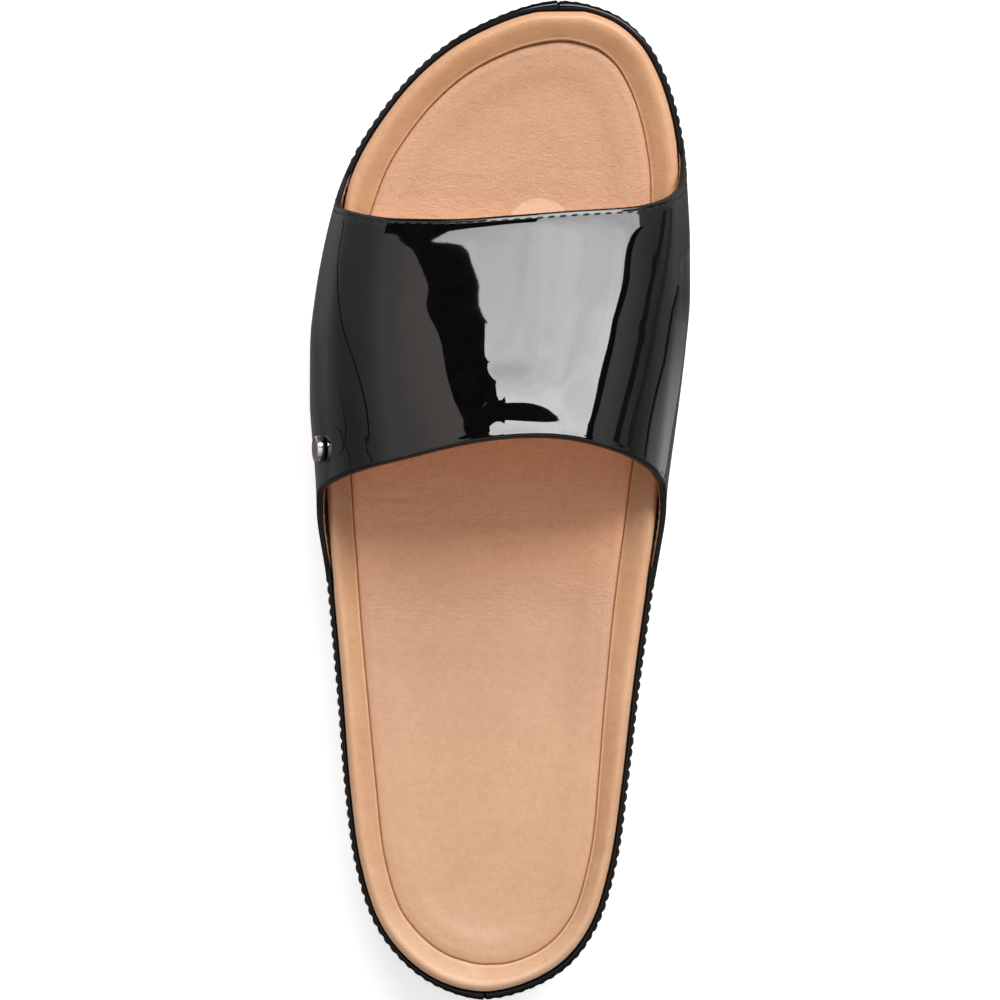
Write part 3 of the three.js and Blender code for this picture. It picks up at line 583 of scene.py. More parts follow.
def metal(name, colour, rough, grain):
    m, t, s = material(name)
    put(s, Metallic=1.0)
    at = object_coords(t)
    n = noise(t, 2600.0, 3.0, 0.6, vector=at)
    b = noise(t, 500.0, 3.0, 0.6, vector=at)
    lo, hi = tuple(c * 0.86 for c in colour), tuple(min(1.0, c * 1.06) for c in colour)
    t.links.new(ramp(t, b.outputs["Fac"], [(0.35, lo), (0.65, hi)]), s.inputs["Base Color"])
    t.links.new(math_node(t, "MULTIPLY_ADD", n.outputs["Fac"], 0.12, rough - 0.06), s.inputs["Roughness"])
    t.links.new(add_bump(t, n.outputs["Fac"], grain, 0.6), s.inputs["Normal"])
    return m


def thread(name, colour):
    m, t, s = material(name)
    put(s, Roughness=0.55, Specular_IOR_Level=0.4)
    at = object_coords(t)
    twist = t.nodes.new("ShaderNodeTexWave")
    put(twist, Scale=1500.0, Distortion=0.6)
    t.links.new(at, twist.inputs["Vector"])
    t.links.new(ramp(t, twist.outputs["Fac"], [(0.0, tuple(c * 0.6 for c in colour)), (1.0, colour)]), s.inputs["Base Color"])
    t.links.new(add_bump(t, twist.outputs["Fac"], 0.00004, 0.8), s.inputs["Normal"])
    return m


PATENT = patent("patent_strap")
BAND_PATENT = patent("patent_band", 0.00002, 0.6, 0.09)
EDGE_PAINT = rubber("edge_paint", 0.008, 0.6, 0.0)
# the rim's lengthwise ramp is painted light and shade, lightening and darkening the rim along its length to stand in
# for how the light falls on it
RIM = tan_leather("rim_leather", (0.575, 0.325, 0.185), (0.545, 0.30, 0.165), (0.61, 0.355, 0.21), grain=0.6, rough=0.46, coat=0.16,
                  painted_light_lengthwise=[(0.04, (0.97, 1.08, 1.20)), (0.2, (0.90, 0.92, 0.93)), (0.55, (0.93, 0.92, 0.90)), (0.8, (0.90, 0.87, 0.83))])
# the panel's lengthwise ramp is painted light and shade: it brightens the panel where the strap's cast shadow falls,
# darkens a band behind the strap towards the heel, and shifts the tone towards heel and toe to match how each part is
# lit
PANEL = tan_leather("panel_leather", (0.54, 0.305, 0.19), (0.52, 0.29, 0.178), (0.56, 0.32, 0.202), grain=1.0, rough=0.5, coat=0.12,
                    painted_light_lengthwise=[(0.08, (0.89, 0.93, 0.91)), (0.25, (0.95, 0.99, 0.98)), (0.36, (0.82, 0.83, 0.83)), (0.41, (0.85, 0.85, 0.86)), (0.48, (1.35, 1.25, 1.15)), (0.56, (1.45, 1.32, 1.18)), (0.72, (1.45, 1.32, 1.18)), (0.78, (0.90, 0.90, 0.88))],
                    pebble=[(0.05, (0.35,) * 3), (0.36, (0.4,) * 3), (0.45, (2.6,) * 3), (0.6, (0.8,) * 3), (0.78, (1.3,) * 3), (0.95, (1.0,) * 3)], spot=(0.0104, 0.0703, 0.0090, (1.2, 1.38, 1.62)))
LINING = tan_leather("lining_leather", (0.62, 0.38, 0.24), (0.58, 0.35, 0.22), (0.66, 0.41, 0.27), grain=0.6, rough=0.58, coat=0.05)
SEAM_LINE = tan_leather("seam_leather", (0.42, 0.15, 0.045), (0.39, 0.138, 0.04), (0.45, 0.162, 0.05), grain=0.3, rough=0.6, coat=0.0)
RUBBER = rubber("ribbed_rubber", 0.006, 0.36, 0.5)
TREAD = rubber("tread_rubber", 0.014, 0.55)
METAL_FACE = metal("rivet_face", (0.50, 0.45, 0.455), 0.42, 0.00004)
METAL_SIDE = metal("rivet_side", (0.86, 0.85, 0.84), 0.10, 0.000006)
THREAD = thread("black_thread", (0.012, 0.011, 0.012))
TAN_THREAD = thread("tan_thread", (0.62, 0.42, 0.28))


# ------------------------------------------------------------------ sole
def face_rings(ring, z, order=1, first=9.0):
    rings = []
    for share in (0, 0.4, 0.8):
        q = toward_spine(inset(ring, np.full(len(ring["p"]), first)), share)
        rings.append(lift(q, z(q[:, 1])))
    return rings[::order]


def along(ring, x, toe):
    """distance run from the place on the toe's or heel's end at the given x, signed, wrapped"""
    p = ring["p"]
    near = np.where(p[:, 1] > SOLE_LENGTH / 2, np.abs(p[:, 0] - x), 1e9) if toe else np.where(p[:, 1] < SOLE_LENGTH / 2, np.abs(p[:, 0] - x), 1e9)
    k = int(near.argmin()) if toe else int(np.where(p[:, 1] < 12, np.abs(p[:, 0] - x), 1e9).argmin())
    if toe:
        k = int(np.where(p[:, 1] > SOLE_LENGTH - 12, np.abs(p[:, 0] - x), 1e9).argmin())
    d = ring["run"] - ring["run"][k]
    half = ring["length"] / 2
    return (d + half) % ring["length"] - half


def build_platform():
    per = 12
    ribs = int(round(outline(400)["length"] / RIB_PITCH))
    n = ribs * per
    ring = outline(n)
    y = ring["p"][:, 1]
    phase = ((np.arange(n) % per) / per) ** 1.12
    valley = np.abs(2 * phase - 1) ** 2.4
    rng = np.random.default_rng(11)
    uneven = np.repeat(rng.uniform(0.88, 1.1, ribs), per)
    valley = valley * uneven
    join = bump(along(ring, BAND_JOIN_TOE_X, True), 0, 0.9) * 0.7
    lo, hi = under(y) + 3.6 + GAP, wall_top(y)
    rings = face_rings(ring, lambda q: under(q) + 3.6 + GAP, -1)

    def wall(share):
        return np.interp(share, [0, 0.35, 0.8, 1.0], [1.35, 0.745, 0.25, 0.25])

    rings.append(lift(inset(ring, np.full(n, 1.9)), lo))
    for share, amount in ((0.0, 0.0), (0.045, 0.0), (0.085, 0.75), (0.12, 1.0), (0.3, 1.0), (0.5, 1.0), (0.7, 1.0), (0.85, 1.0)):
        z = lo + (hi - lo) * share
        base = wall(share) - 0.25 + (0.22 if amount == 0 else 0)
        rings.append(lift(inset(ring, base + RIB_DEPTH * valley * amount + join), z))
    for drop, more, amount in ((0.95, 0.0, 1.0), (0.5, 0.08, 1.0), (0.2, 0.26, 0.95), (0.04, 0.6, 0.6), (0.0, 1.0, 0.2)):
        rings.append(lift(inset(ring, more + RIB_DEPTH * valley * amount + join * (1 if more < 0.5 else 0.4)), hi - drop))
    rings += face_rings(ring, wall_top)
    o = ring_solid("platform_ribbed", rings, [RUBBER])
    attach(o, "root")
    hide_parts("platform")
    return o


def way_table():
    fine = outline(2400)
    return {side: (fine["p"][fine["side"] == side, 1], fine["run"][fine["side"] == side] / fine["length"]) for side in (-1, 1)}


def sample_ring(ring, ways):
    """points and inward normals at any shares of the way round"""
    n = len(ring["p"])
    x = np.asarray(ways) % 1.0 * n
    i = np.floor(x).astype(int) % n
    t = (x - np.floor(x))[:, None]
    j = (i + 1) % n
    p = ring["p"][i] * (1 - t) + ring["p"][j] * t
    m = ring["n"][i] * (1 - t) + ring["n"][j] * t
    return p, m / np.linalg.norm(m, axis=1)[:, None]


def build_band(name, node, ends, first, last, count, join_x, toe):
    """an open band along the outline, its two ends cut along the strap's edges"""
    ring, table = outline(4000), way_table()
    section = [  # inset, rise, share of the extra width
        (BAND_OUTER + 0.06, GAP, 0), (BAND_OUTER, GAP + 0.12, 0), (BAND_OUTER, 1.6, 0), (BAND_OUTER, 3.2, 0), (BAND_OUTER + 0.02, 4.2, 0), (BAND_OUTER + 0.09, 4.85, 0.05),
        (BAND_OUTER + 0.22, 5.25, 0.15), (BAND_OUTER + 0.42, 5.5, 0.35), (BAND_OUTER + 0.62, 5.58, 0.6), (BAND_OUTER + 0.8, 5.5, 0.82), (BAND_INNER - 0.1, 5.2, 0.96),
        (BAND_INNER - 0.02, 4.6, 1), (BAND_INNER, 3.4, 1), (BAND_INNER, GAP, 1),
    ]

    def way(side, y):
        ys, w = table[side]
        o = np.argsort(ys)
        return float(np.interp(y, ys[o], w[o]))

    tip = np.where(ring["p"][:, 1] > SOLE_LENGTH - 12 if toe else ring["p"][:, 1] < 12, np.abs(ring["p"][:, 0] - join_x), 1e9)
    join = float(ring["run"][int(tip.argmin())] / ring["length"])
    rows, extra = [], join + np.arange(-0.9, 0.91, 0.1) / ring["length"]
    for d, rise, wide in section:
        t = (rise - GAP) / (BAND_HEIGHT - GAP)
        a, b = [way(side, ends[side][0] + (ends[side][1] - ends[side][0]) * t) for side in (first, last)]
        span = b - a if b > a else b - a + 1
        ways = a + span * np.linspace(0, 1, count)
        ways = np.sort(np.concatenate([ways, extra if a < join < a + span else extra + 1]))
        p, m = sample_ring(ring, ways)
        run = (ways % 1.0 - join) * ring["length"]
        run = ((run + ring["length"] / 2) % ring["length"] - ring["length"] / 2) * (1 if toe else -1)
        slit = np.exp(-((run + 0.2) / 0.22) ** 2)
        lap = np.where(run >= 0, np.exp(-np.abs(run) / 5.0), 0)
        out = d < BAND_OUTER + 0.5
        off = d + wide * rim_more(p, m[:, 0] * -1) - (0.24 * lap if out else 0) + 0.03 * waves(p, 5, 34)
        q = p + m * (off + (0.3 * slit if out and rise > 1 else 0 * slit))[:, None]
        rows.append(lift(q, wall_top(p[:, 1]) + rise + ((0.16 * lap - 0.45 * slit) if rise > 4 else 0)))
    k, n, faces = len(rows), len(rows[0]), []
    for r in range(k):
        a, b = r * n, ((r + 1) % k) * n
        faces += [(a + i, a + i + 1, b + i + 1, b + i) for i in range(n - 1)]
    faces += [tuple(r * n for r in range(k)), tuple(r * n + n - 1 for r in range(k))[::-1]]
    o = new_object(name, np.concatenate(rows), faces, [BAND_PATENT])
    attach(o, "root")
    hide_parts(node)
    return o


def build_footbed():
    n = 800
    ring = outline(n)
    y = ring["p"][:, 1]
    open_ = pocket(ring)
    wall = RIM_WALL + rim_more(ring["p"], ring["side"]) + (RIM_POCKET - RIM_WALL) * open_
    roll = ROLL_OPEN + (ROLL_STRAP - ROLL_OPEN) * in_strap(ring)
    seam = seam_inset(ring)
    crest = wall + CREST_HEEL + (CREST_TOE - CREST_HEEL) * smooth(100, 220, y)
    reach = seam - crest
    one = np.ones(n)
    controls = [
        (wall + 0.15, 0.35), (wall, 1.2), (wall, 3.4), (wall - 0.08, 5.4), (wall - roll * 0.8, 6.7), (wall - roll, 7.7), (wall - roll * 0.45, 8.8), (wall + (crest - wall) * 0.38, 9.62),
        (crest, 9.9), (crest + reach * 0.2, 9.62), (crest + reach * 0.45, 8.75), (crest + reach * 0.72, 7.65), (seam - 0.5, 6.85), (seam - 0.12, 6.72), (seam, 6.4), (seam + 0.03, 5.4), (seam + 0.05, 4.1),
    ]
    P = np.stack([np.stack([d * one, r * one], -1) for d, r in controls], 1)
    per = 4
    K = len(controls)
    t = np.arange((K - 1) * per + 1) / per
    i = np.minimum(np.floor(t).astype(int), K - 2)
    curve = spline_at(P, np.broadcast_to(i, (n, len(t))), np.broadcast_to(t - i, (n, len(t))))
    rings = face_rings(ring, lambda q: wall_top(q) + GAP, -1)
    base = wall_top(y)
    for k in range(len(t)):
        q = inset(ring, curve[:, k, 0])
        rise = curve[:, k, 1]
        soft = smooth(5.0, 8.0, rise)
        q3 = lift(q, base + rise)
        rise = rise + soft * (0.10 * waves(q3, 21, 30) + 0.035 * waves(q3, 22, 7))
        rings.append(lift(q, base + rise))
    for share in (0, 0.4, 0.8):
        q = toward_spine(inset(ring, seam + 0.12), share)
        rings.append(lift(q, wall_top(q[:, 1]) + 3.7 - 0.7 * share))
    o = ring_solid("moulded_footbed", rings, [RIM])
    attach(o, "root")
    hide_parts("footbed")
    return o


def build_insole():
    n = 800
    ring = outline(n)
    edge = seam_inset(ring) + 0.1 + 0.06
    rings = []
    for share, rise in ((0.9, 3.35), (0.5, 3.6), (0.0, 4.0)):
        q = toward_spine(inset(ring, edge), share)
        rings.append(lift(q, wall_top(q[:, 1]) + rise))
    rows = profile([(0.0, 4.05), (0.0, 6.1), (0.06, 6.45), (0.2, 6.66), (0.5, 6.82), (1.2, 6.95), (2.2, 7.02), (3.4, 6.9)], 24)
    shrink = np.linspace(0.05, 0.985, 18)

    def dish(q):
        z = 6.9 - 1.2 * smooth(0, 15, near_edge(q))
        z = z - 0.55 * bump(np.hypot(q[:, 0] + 4, (q[:, 1] - 42) * 0.8), 0, 30)
        z = z - 0.35 * bump(np.hypot(q[:, 0] - 6, (q[:, 1] - 190) * 0.7), 0, 42)
        return z

    line = inset(ring, edge)

    def near_edge(q):
        k = slice(None, None, 4)
        return np.sqrt(((q[:, None] - line[None, k]) ** 2).sum(-1).min(1))

    def folds(q):
        # soft folds in the leather behind the strap and across the ball
        z = np.zeros(len(q))
        for x0, y0, half, width, bend, depth in FOLDS:
            yy = y0 + bend * ((q[:, 0] - x0) / 20.0) ** 2
            z -= depth * bump(q[:, 1], yy, width) * bump(q[:, 0], x0, half)
        return z

    for d, rise in rows:
        q = inset(ring, edge + d)
        p3 = lift(q, wall_top(q[:, 1]) + rise)
        top = smooth(6.2, 6.9, np.full(n, rise))
        p3[:, 2] += top * (0.05 * waves(p3, 31, 26) + folds(q))
        rings.append(p3)
    for share in shrink:
        q = toward_spine(inset(ring, edge + 3.4), share)
        blend = smooth(0, 0.25, share)
        z = 6.9 * (1 - blend) + dish(q) * blend
        p3 = lift(q, wall_top(q[:, 1]) + z)
        p3[:, 2] += 0.05 * waves(p3, 31, 26) + folds(q)
        rings.append(p3)
    o = ring_solid("insole_panel", rings, [PANEL])
    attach(o, "root")
    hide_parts("insole")
    return o


def build_seam():
    n = 800
    ring = outline(n)
    seam, base = seam_inset(ring), wall_top(ring["p"][:, 1])
    rings = [lift(inset(ring, seam + d), base + rise) for d, rise in ((0.05, 6.0), (0.155, 6.0), (0.155, 6.48), (0.05, 6.48))]
    faces = [tuple(f) for f in ring_faces(n, 4, closed=True)]
    o = new_object("footbed_seam", np.concatenate(rings[::-1]), faces, [SEAM_LINE])
    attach(o, "root")
    return o


FOLDS = [  # x, y, half length, half width, bend over 20 mm, depth
    (4.0, 132.0, 30.0, 2.2, 1.6, 0.10), (-6.0, 126.5, 22.0, 1.8, 1.2, 0.08), (10.0, 121.0, 20.0, 2.0, 1.4, 0.07), (-2.0, 114.5, 26.0, 2.4, 1.0, 0.06),
    (-27.0, 131.5, 12.0, 1.1, 2.4, 0.35), (-23.0, 128.2, 14.0, 1.0, 2.8, 0.33), (-28.0, 125.0, 10.0, 1.1, 2.0, 0.31), (-19.0, 122.6, 12.0, 1.2, 2.4, 0.26), (-16.0, 134.5, 12.0, 1.0, -1.8, 0.26), (-12.0, 118.5, 12.0, 1.3, 2.0, 0.22), (26.0, 129.0, 9.0, 1.2, -1.6, 0.22),
    (6.0, 225.0, 22.0, 1.6, -1.5, 0.05), (20.0, 218.0, 16.0, 1.5, -1.0, 0.05), (-8.0, 215.0, 16.0, 1.6, -1.2, 0.05),
]


# ------------------------------------------------------------------ upper
CREASES = [  # soft troughs and ridges: u and y of both ends, half width mm, height mm (+ out)
    (0.15, 203.0, 0.235, 142.0, 8.0, -0.07), (0.20, 200.0, 0.28, 150.0, 8.0, 0.05), (0.33, 196.0, 0.40, 150.0, 10.0, -0.06),
    (0.79, 204.0, 0.755, 143.0, 7.0, -0.06), (0.84, 206.0, 0.80, 142.0, 7.0, 0.05), (0.60, 201.0, 0.63, 160.0, 11.0, -0.05),
    (0.52, 194.0, 0.55, 172.0, 9.0, 0.05),
]


def relief(u, y, p):
    """height of the leather over the plain surface"""
    L = float(strap_face.length(170.0))
    h = 0.06 * waves(p, 41, 46, 1)
    for u0, y0, u1, y1, half, height in CREASES:
        du, dy = (u1 - u0) * L, y1 - y0
        t = np.clip(((u - u0) * L * du + (y - y0) * dy) / (du * du + dy * dy), 0, 1)
        gap = np.hypot((u - u0) * L - t * du, y - y0 - t * dy)
        h = h + height * bump(gap, 0, half) * (0.35 + 0.65 * np.sin(math.pi * t))
    # a low ridge at the crest's rear, fading to the inner side
    x = p[:, 0]
    h = h + 0.262 * bump(y, 158.6, 8.8) * smooth(-7.5, 0.0, x) * (1 - smooth(3.5, 22, x))
    fade = smooth(0.02, 0.07, np.minimum(u, 1 - u))
    return h * fade


def edge_distance(u, y):
    back, front = edge_curves(u)
    return (y - back) * edge_slant(u, 0), (front - y) * edge_slant(u, 1)


def strap_rows(margin, count, fine):
    """the fine offsets moved in by the margin, and the count of middle rows passed through"""
    near = [e + margin for e in fine]
    return near, count


def shell(name, depth, thick, margin, nu, middle, fine, radius, materials, relief_on=True, u_ends=(0.0, 1.0), under_round=1.0):
    u1 = np.linspace(u_ends[0], u_ends[1], nu + 1)
    back, front = edge_curves(u1)
    sb, sf = edge_slant(u1, 0), edge_slant(u1, 1)
    near = np.array(fine, float) + margin
    last = near[-1]
    cols = [back + e / sb for e in near]
    start, end = back + last / sb, front - last / sf
    cols += [start + (end - start) * k / (middle + 1) for k in range(1, middle + 1)]
    cols += [front - e / sf for e in near[::-1]]
    y = np.stack(cols, 1)
    u = np.repeat(u1[:, None], y.shape[1], 1)
    eb, ef = (y - back[:, None]) * sb[:, None], (front[:, None] - y) * sf[:, None]
    e = np.minimum(eb, ef) - margin
    S, N = strap_face.at(u, y), strap_face.normal(u, y)
    round_ = np.where(e < radius, radius - np.sqrt(np.maximum(radius**2 - (radius - np.clip(e, 0, radius)) ** 2, 0)), 0)
    h = np.zeros(u.shape)
    if relief_on:
        h = relief(u.ravel(), y.ravel(), S.reshape(-1, 3)).reshape(u.shape)
        h = h * smooth(0.0, 6.0, np.minimum(eb, ef))
        foot = smooth(0.03, 0.08, np.minimum(u, 1 - u))
        h = h + foot * 0.02 * bump(eb, 0.9, 0.9)
        lip = 0.07 + 0.17 * smooth(0.15, 0.3, u) * (1 - smooth(0.45, 0.72, u))
        h = h + foot * (0.03 * bump(ef, 0.7, 0.7) - 0.05 * bump(ef, STITCH_IN, 0.9) - lip * np.exp(-ef / 1.7))
    t = thick(np.minimum(eb, ef), u)
    top = depth(u)
    outer = S + N * (h - top - round_)[..., None]
    inner = S - N * (top + t - round_ * under_round)[..., None]
    nv = y.shape[1]
    pts = np.concatenate([outer.reshape(-1, 3), inner.reshape(-1, 3)])
    a = (np.arange(nu)[:, None] * nv + np.arange(nv - 1)[None]).ravel()
    off = (nu + 1) * nv
    f1 = np.stack([a, a + nv, a + nv + 1, a + 1], 1)
    f2 = np.stack([off + a, off + a + 1, off + a + nv + 1, off + a + nv], 1)
    i = np.arange(nu) * nv
    f3 = np.stack([i, off + i, off + i + nv, i + nv], 1)
    j = i + nv - 1
    f4 = np.stack([j, j + nv, off + j + nv, off + j], 1)
    k = np.arange(nv - 1)
    f5 = np.stack([k, k + 1, off + k + 1, off + k], 1)
    m = nu * nv + k
    f6 = np.stack([m, off + m, off + m + 1, m + 1], 1)
    faces = np.concatenate([f1, f2, f3, f4, f5, f6])
    near_edge = np.minimum(eb, ef).ravel()
    both = np.concatenate([near_edge, near_edge])
    which = None
    if len(materials) > 1:
        at_back = np.concatenate([(eb < ef).ravel()] * 2)
        cut = np.where(at_back, 0.12, 0.34)
        which = ((both < cut + 1e-6)[faces].all(1)).astype(int)
    return new_object(name, pts, faces, materials, face_material=which, attributes={"edge": both})


FINE = [0.0, 0.03, 0.1, 0.2, 0.34, 0.5, 0.68, 0.87, 1.07, 1.3, 1.55, 1.8, 2.1, 2.45, 2.85, 3.3, 3.8, 4.4, 5.2, 6.2]


def strap_thick(u):
    return STRAP_FOOT_THICK + (STRAP_THICK - STRAP_FOOT_THICK) * smooth(0.03, 0.1, np.minimum(u, 1 - u))


def build_strap():
    def thick(e, u):
        return strap_thick(u) - 0.34 * smooth(0.0, 0.1, e)

    def under_(u):
        return strap_thick(u) - LINING_THICK + 0.01

    o = shell("patent_strap", lambda u: np.zeros(u.shape), thick, 0.0, 300, 44, FINE, 0.55, [PATENT, EDGE_PAINT], under_round=0.3)
    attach(o, "root")
    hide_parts("strap")
    lining = shell("strap_lining", under_, lambda e, u: np.full(u.shape, LINING_THICK), LINING_MARGIN, 240, 36, [0.0, 0.03, 0.08, 0.16, 0.5, 1.2, 2.5], 0.15, [LINING], relief_on=False, u_ends=(0.002, 0.998))
    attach(lining, "root")
    return o, lining


def capsule(centre, t, n, length, width, height, rings=7, around=8):
    """a stitch: a rounded bead along t, sunk at both ends"""
    b = np.cross(n, t)
    pts, faces = [], []
    for i in range(rings):
        s = -1 + 2 * i / (rings - 1)
        r = math.sqrt(max(0.0, 1 - abs(s) ** 3.2))
        c = centre + t * (s * length / 2) - n * (0.16 * s * s)
        for k in range(around):
            a = 2 * math.pi * k / around
            pts.append(c + b * (math.cos(a) * width / 2 * max(r, 0.05)) + n * (math.sin(a) * height / 2 * max(r, 0.05)))
    for i in range(rings - 1):
        for k in range(around):
            a, c = i * around + k, i * around + (k + 1) % around
            faces.append((a, c, c + around, a + around))
    faces.append(tuple(range(around))[::-1])
    faces.append(tuple((rings - 1) * around + k for k in range(around)))
    return pts, faces


def build_stitches(name, which, inward, lined, mat, u_from, u_to):
    fine = np.linspace(u_from, u_to, 1500)
    edge = edge_curves(fine)[which]
    slant = edge_slant(fine, which)
    y = edge + (inward / slant if which == 0 else -inward / slant)
    p = strap_face.at(fine, y)
    n = strap_face.normal(fine, y)
    if not lined:
        h = relief(fine, y, p) * smooth(0, 6, inward) - 0.12
        p = p + n * h[:, None]
    else:
        p = p - n * (strap_thick(fine) + 0.01)[:, None]
    run = np.concatenate([[0], np.cumsum(np.linalg.norm(np.diff(p, axis=0), axis=1))])
    count = int(run[-1] // STITCH_PITCH)
    rng = np.random.default_rng(3 + which)
    pts, faces = [], []
    for k in range(count):
        s = (k + 0.5) * STITCH_PITCH + rng.uniform(-0.06, 0.06)
        c = np.array([np.interp(s, run, p[:, a]) for a in range(3)])
        t = np.array([np.interp(s + 0.6, run, p[:, a]) - np.interp(s - 0.6, run, p[:, a]) for a in range(3)])
        nn = np.array([np.interp(s, run, n[:, a]) for a in range(3)])
        nn = -nn if lined else nn
        t /= np.linalg.norm(t)
        nn -= t * (nn @ t)
        nn /= np.linalg.norm(nn)
        b = np.cross(nn, t)
        t = t * math.cos(0.07) + b * math.sin(0.07)
        q, f = capsule(c + nn * 0.06, t, nn, STITCH_LENGTH, STITCH_WIDTH, 0.34)
        faces += [tuple(len(pts) + i for i in g) for g in f]
        pts += q
    o = new_object(name, np.array(pts), faces, [mat])
    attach(o, "root")
    return o


def build_rivet():
    us = np.linspace(0.1, 0.4, 400)
    yy = np.full(400, RIVET_Y)
    up = np.degrees(np.arcsin(np.clip(strap_face.normal(us, yy)[:, 2], -1, 1)))
    k = int(np.abs(up - RIVET_TILT).argmin())
    at = strap_face.at(us[k : k + 1], yy[:1])[0]
    n = strap_face.normal(us[k : k + 1], yy[:1])[0]
    lo, hi, R = -STRAP_THICK - 0.35, 0.28, RIVET_R
    prof = [
        (0.0, lo - 0.62, 1), (1.2, lo - 0.6, 1), (1.9, lo - 0.5, 1), (2.2, lo - 0.34, 1), (2.3, lo - 0.18, 1), (2.3, lo, 1), (1.2, lo, 1), (1.2, hi, 1), (R - 0.15, hi, 0), (R, hi + 0.12, 0),
        (R, hi + 0.7, 0), (R, hi + 1.45, 0), (R - 0.05, hi + 1.68, 0), (R - 0.2, hi + 1.84, 0), (R - 0.42, hi + 1.9, 0), (R - 0.66, hi + 1.84, 1), (R - 0.8, hi + 1.72, 1), (R - 1.0, hi + 1.68, 1),
        (R - 1.25, hi + 1.72, 1), (1.5, hi + 1.74, 1), (0.9, hi + 1.71, 1), (0.0, hi + 1.69, 1),
    ]
    a = np.cross(n, [0, 1, 0])
    a /= np.linalg.norm(a)
    b = np.cross(n, a)
    seg = 72
    pts, faces, mats = [at + n * prof[0][1]], [], []
    for r, h, _ in prof[1:-1]:
        for s in range(seg):
            w = 2 * math.pi * s / seg
            pts.append(at + n * h + (a * math.cos(w) + b * math.sin(w)) * r)
    pts.append(at + n * prof[-1][1])
    m = len(prof) - 2
    for s in range(seg):
        faces.append((0, 1 + (s + 1) % seg, 1 + s))
        mats.append(1)
    for i in range(m - 1):
        for s in range(seg):
            p, q = 1 + i * seg + s, 1 + i * seg + (s + 1) % seg
            faces.append((p, q, q + seg, p + seg))
            mats.append(0 if prof[i + 2][2] == 0 else 1)
    for s in range(seg):
        faces.append((len(pts) - 1, 1 + (m - 1) * seg + s, 1 + (m - 1) * seg + (s + 1) % seg))
        mats.append(1)
    o = new_object("rivet_metal", np.array(pts), faces, [METAL_SIDE, METAL_FACE], face_material=mats)
    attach(o, "root")
    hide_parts("rivet")
    return o


build_platform()
build_band("heel_band_patent", "heel_band", HEEL_BAND, -1, 1, 620, BAND_JOIN_HEEL_X, False)
build_band("toe_band_patent", "toe_band", TOE_BAND, 1, -1, 360, BAND_JOIN_TOE_X, True)
build_footbed()
build_insole()
build_seam()
build_strap()
build_stitches("front_stitches", 1, STITCH_IN, False, THREAD, 0.02, 0.98)
build_stitches("lining_stitches_front", 1, STITCH_IN, True, TAN_THREAD, 0.02, 0.98)
build_stitches("lining_stitches_back", 0, STITCH_IN, True, TAN_THREAD, 0.02, 0.98)
build_rivet()

tread = bpy.data.objects["outsole"]
tread.data.materials.clear()
tread.data.materials.append(TREAD)


# ------------------------------------------------------------------ studio
def flat(name, corners, mat):
    mesh = bpy.data.meshes.new(name)
    mesh.from_pydata([tuple(map(float, c)) for c in corners], [], [tuple(range(len(corners)))])
    mesh.materials.append(mat)
    o = bpy.data.objects.new(name, mesh)
    bpy.context.scene.collection.objects.link(o)
    return o


def glow(name, strength, colour=(1, 1, 1)):
    m = bpy.data.materials.new(name)
    m.use_nodes = True
    t = m.node_tree
    t.nodes.clear()
    e, out = t.nodes.new("ShaderNodeEmission"), t.nodes.new("ShaderNodeOutputMaterial")
    e.inputs["Color"].default_value = (*colour, 1)
    e.inputs["Strength"].default_value = strength
    t.links.new(e.outputs[0], out.inputs["Surface"])
    return m


floor_mat, ft, fs = material("floor_paper")
put(fs, Base_Color=(0.86, 0.86, 0.86, 1), Roughness=0.9, Specular_IOR_Level=0.1, Emission_Color=(1, 1, 1, 1), Emission_Strength=0.45)
ground = flat("floor", [(-4, -4, -0.0004), (4, -4, -0.0004), (4, 4, -0.0004), (-4, 4, -0.0004)], floor_mat)
ground.visible_glossy = False

EYE = np.array([-0.00005, -0.00027, 1.5])
HOME, HIGH = np.array([0.004, 0.04, 0.08]), 1.1


class Mirror:
    """where the strap's gloss looks: places in the view, in thousandths of its width, to points of the studio"""

    def __init__(self):
        u, y = np.meshgrid(np.linspace(0.01, 0.99, 560), np.linspace(108, 228, 360), indexing="ij")
        s, n = strap_face.at(u, y), strap_face.normal(u, y)
        s = s + n * relief(u.ravel(), y.ravel(), s.reshape(-1, 3)).reshape(u.shape)[..., None]
        n = np.cross(np.gradient(s, axis=0), np.gradient(s, axis=1))
        n /= np.linalg.norm(n, axis=-1, keepdims=True)
        back, front = edge_curves(u)
        p = to_frame(s.reshape(-1, 3)).reshape(s.shape)
        v = EYE - p
        v /= np.linalg.norm(v, axis=-1, keepdims=True)
        r = 2 * (n * v).sum(-1, keepdims=True) * n - v
        f = 1472.0 / (1.5 - p[..., 2]) / 0.2628
        use = (y > back + 2.5) & (y < front - 3.5)
        self.at_ = np.stack([500 + (p[..., 0] - EYE[0]) * f, 500 - (p[..., 1] - EYE[1]) * f], -1)[use]
        self.p, self.r = p[use], r[use]

    def look(self, places):
        out = []
        for x, y in places:
            d = ((self.at_ - (x, y)) ** 2).sum(1)
            near = np.argsort(d)[:12]
            top = near[self.p[near, 2] > self.p[near, 2].max() - 0.004]
            w = 1 / (d[top] + 0.3)
            out.append((np.average(self.p[top], axis=0, weights=w), np.average(self.r[top], axis=0, weights=w)))
        return out

    def overhead(self, places):
        """on the level plane of the overhead cards"""
        out = []
        for p, r in self.look(places):
            q = p + r * ((HOME[2] + HIGH - p[2]) / max(r[2], 0.12))
            out.append(q)
        return out

    def around(self, places, far=2.6):
        """on a round backdrop about the shoe"""
        return [p + r / np.linalg.norm(r) * far for p, r in self.look(places)]


def resample(places, count):
    p = np.array(places, float)
    L = np.concatenate([[0], np.cumsum(np.linalg.norm(np.diff(p, axis=0), axis=1))])
    t = np.linspace(0, L[-1], count)
    return np.stack([np.interp(t, L, p[:, k]) for k in range(p.shape[1])], 1)


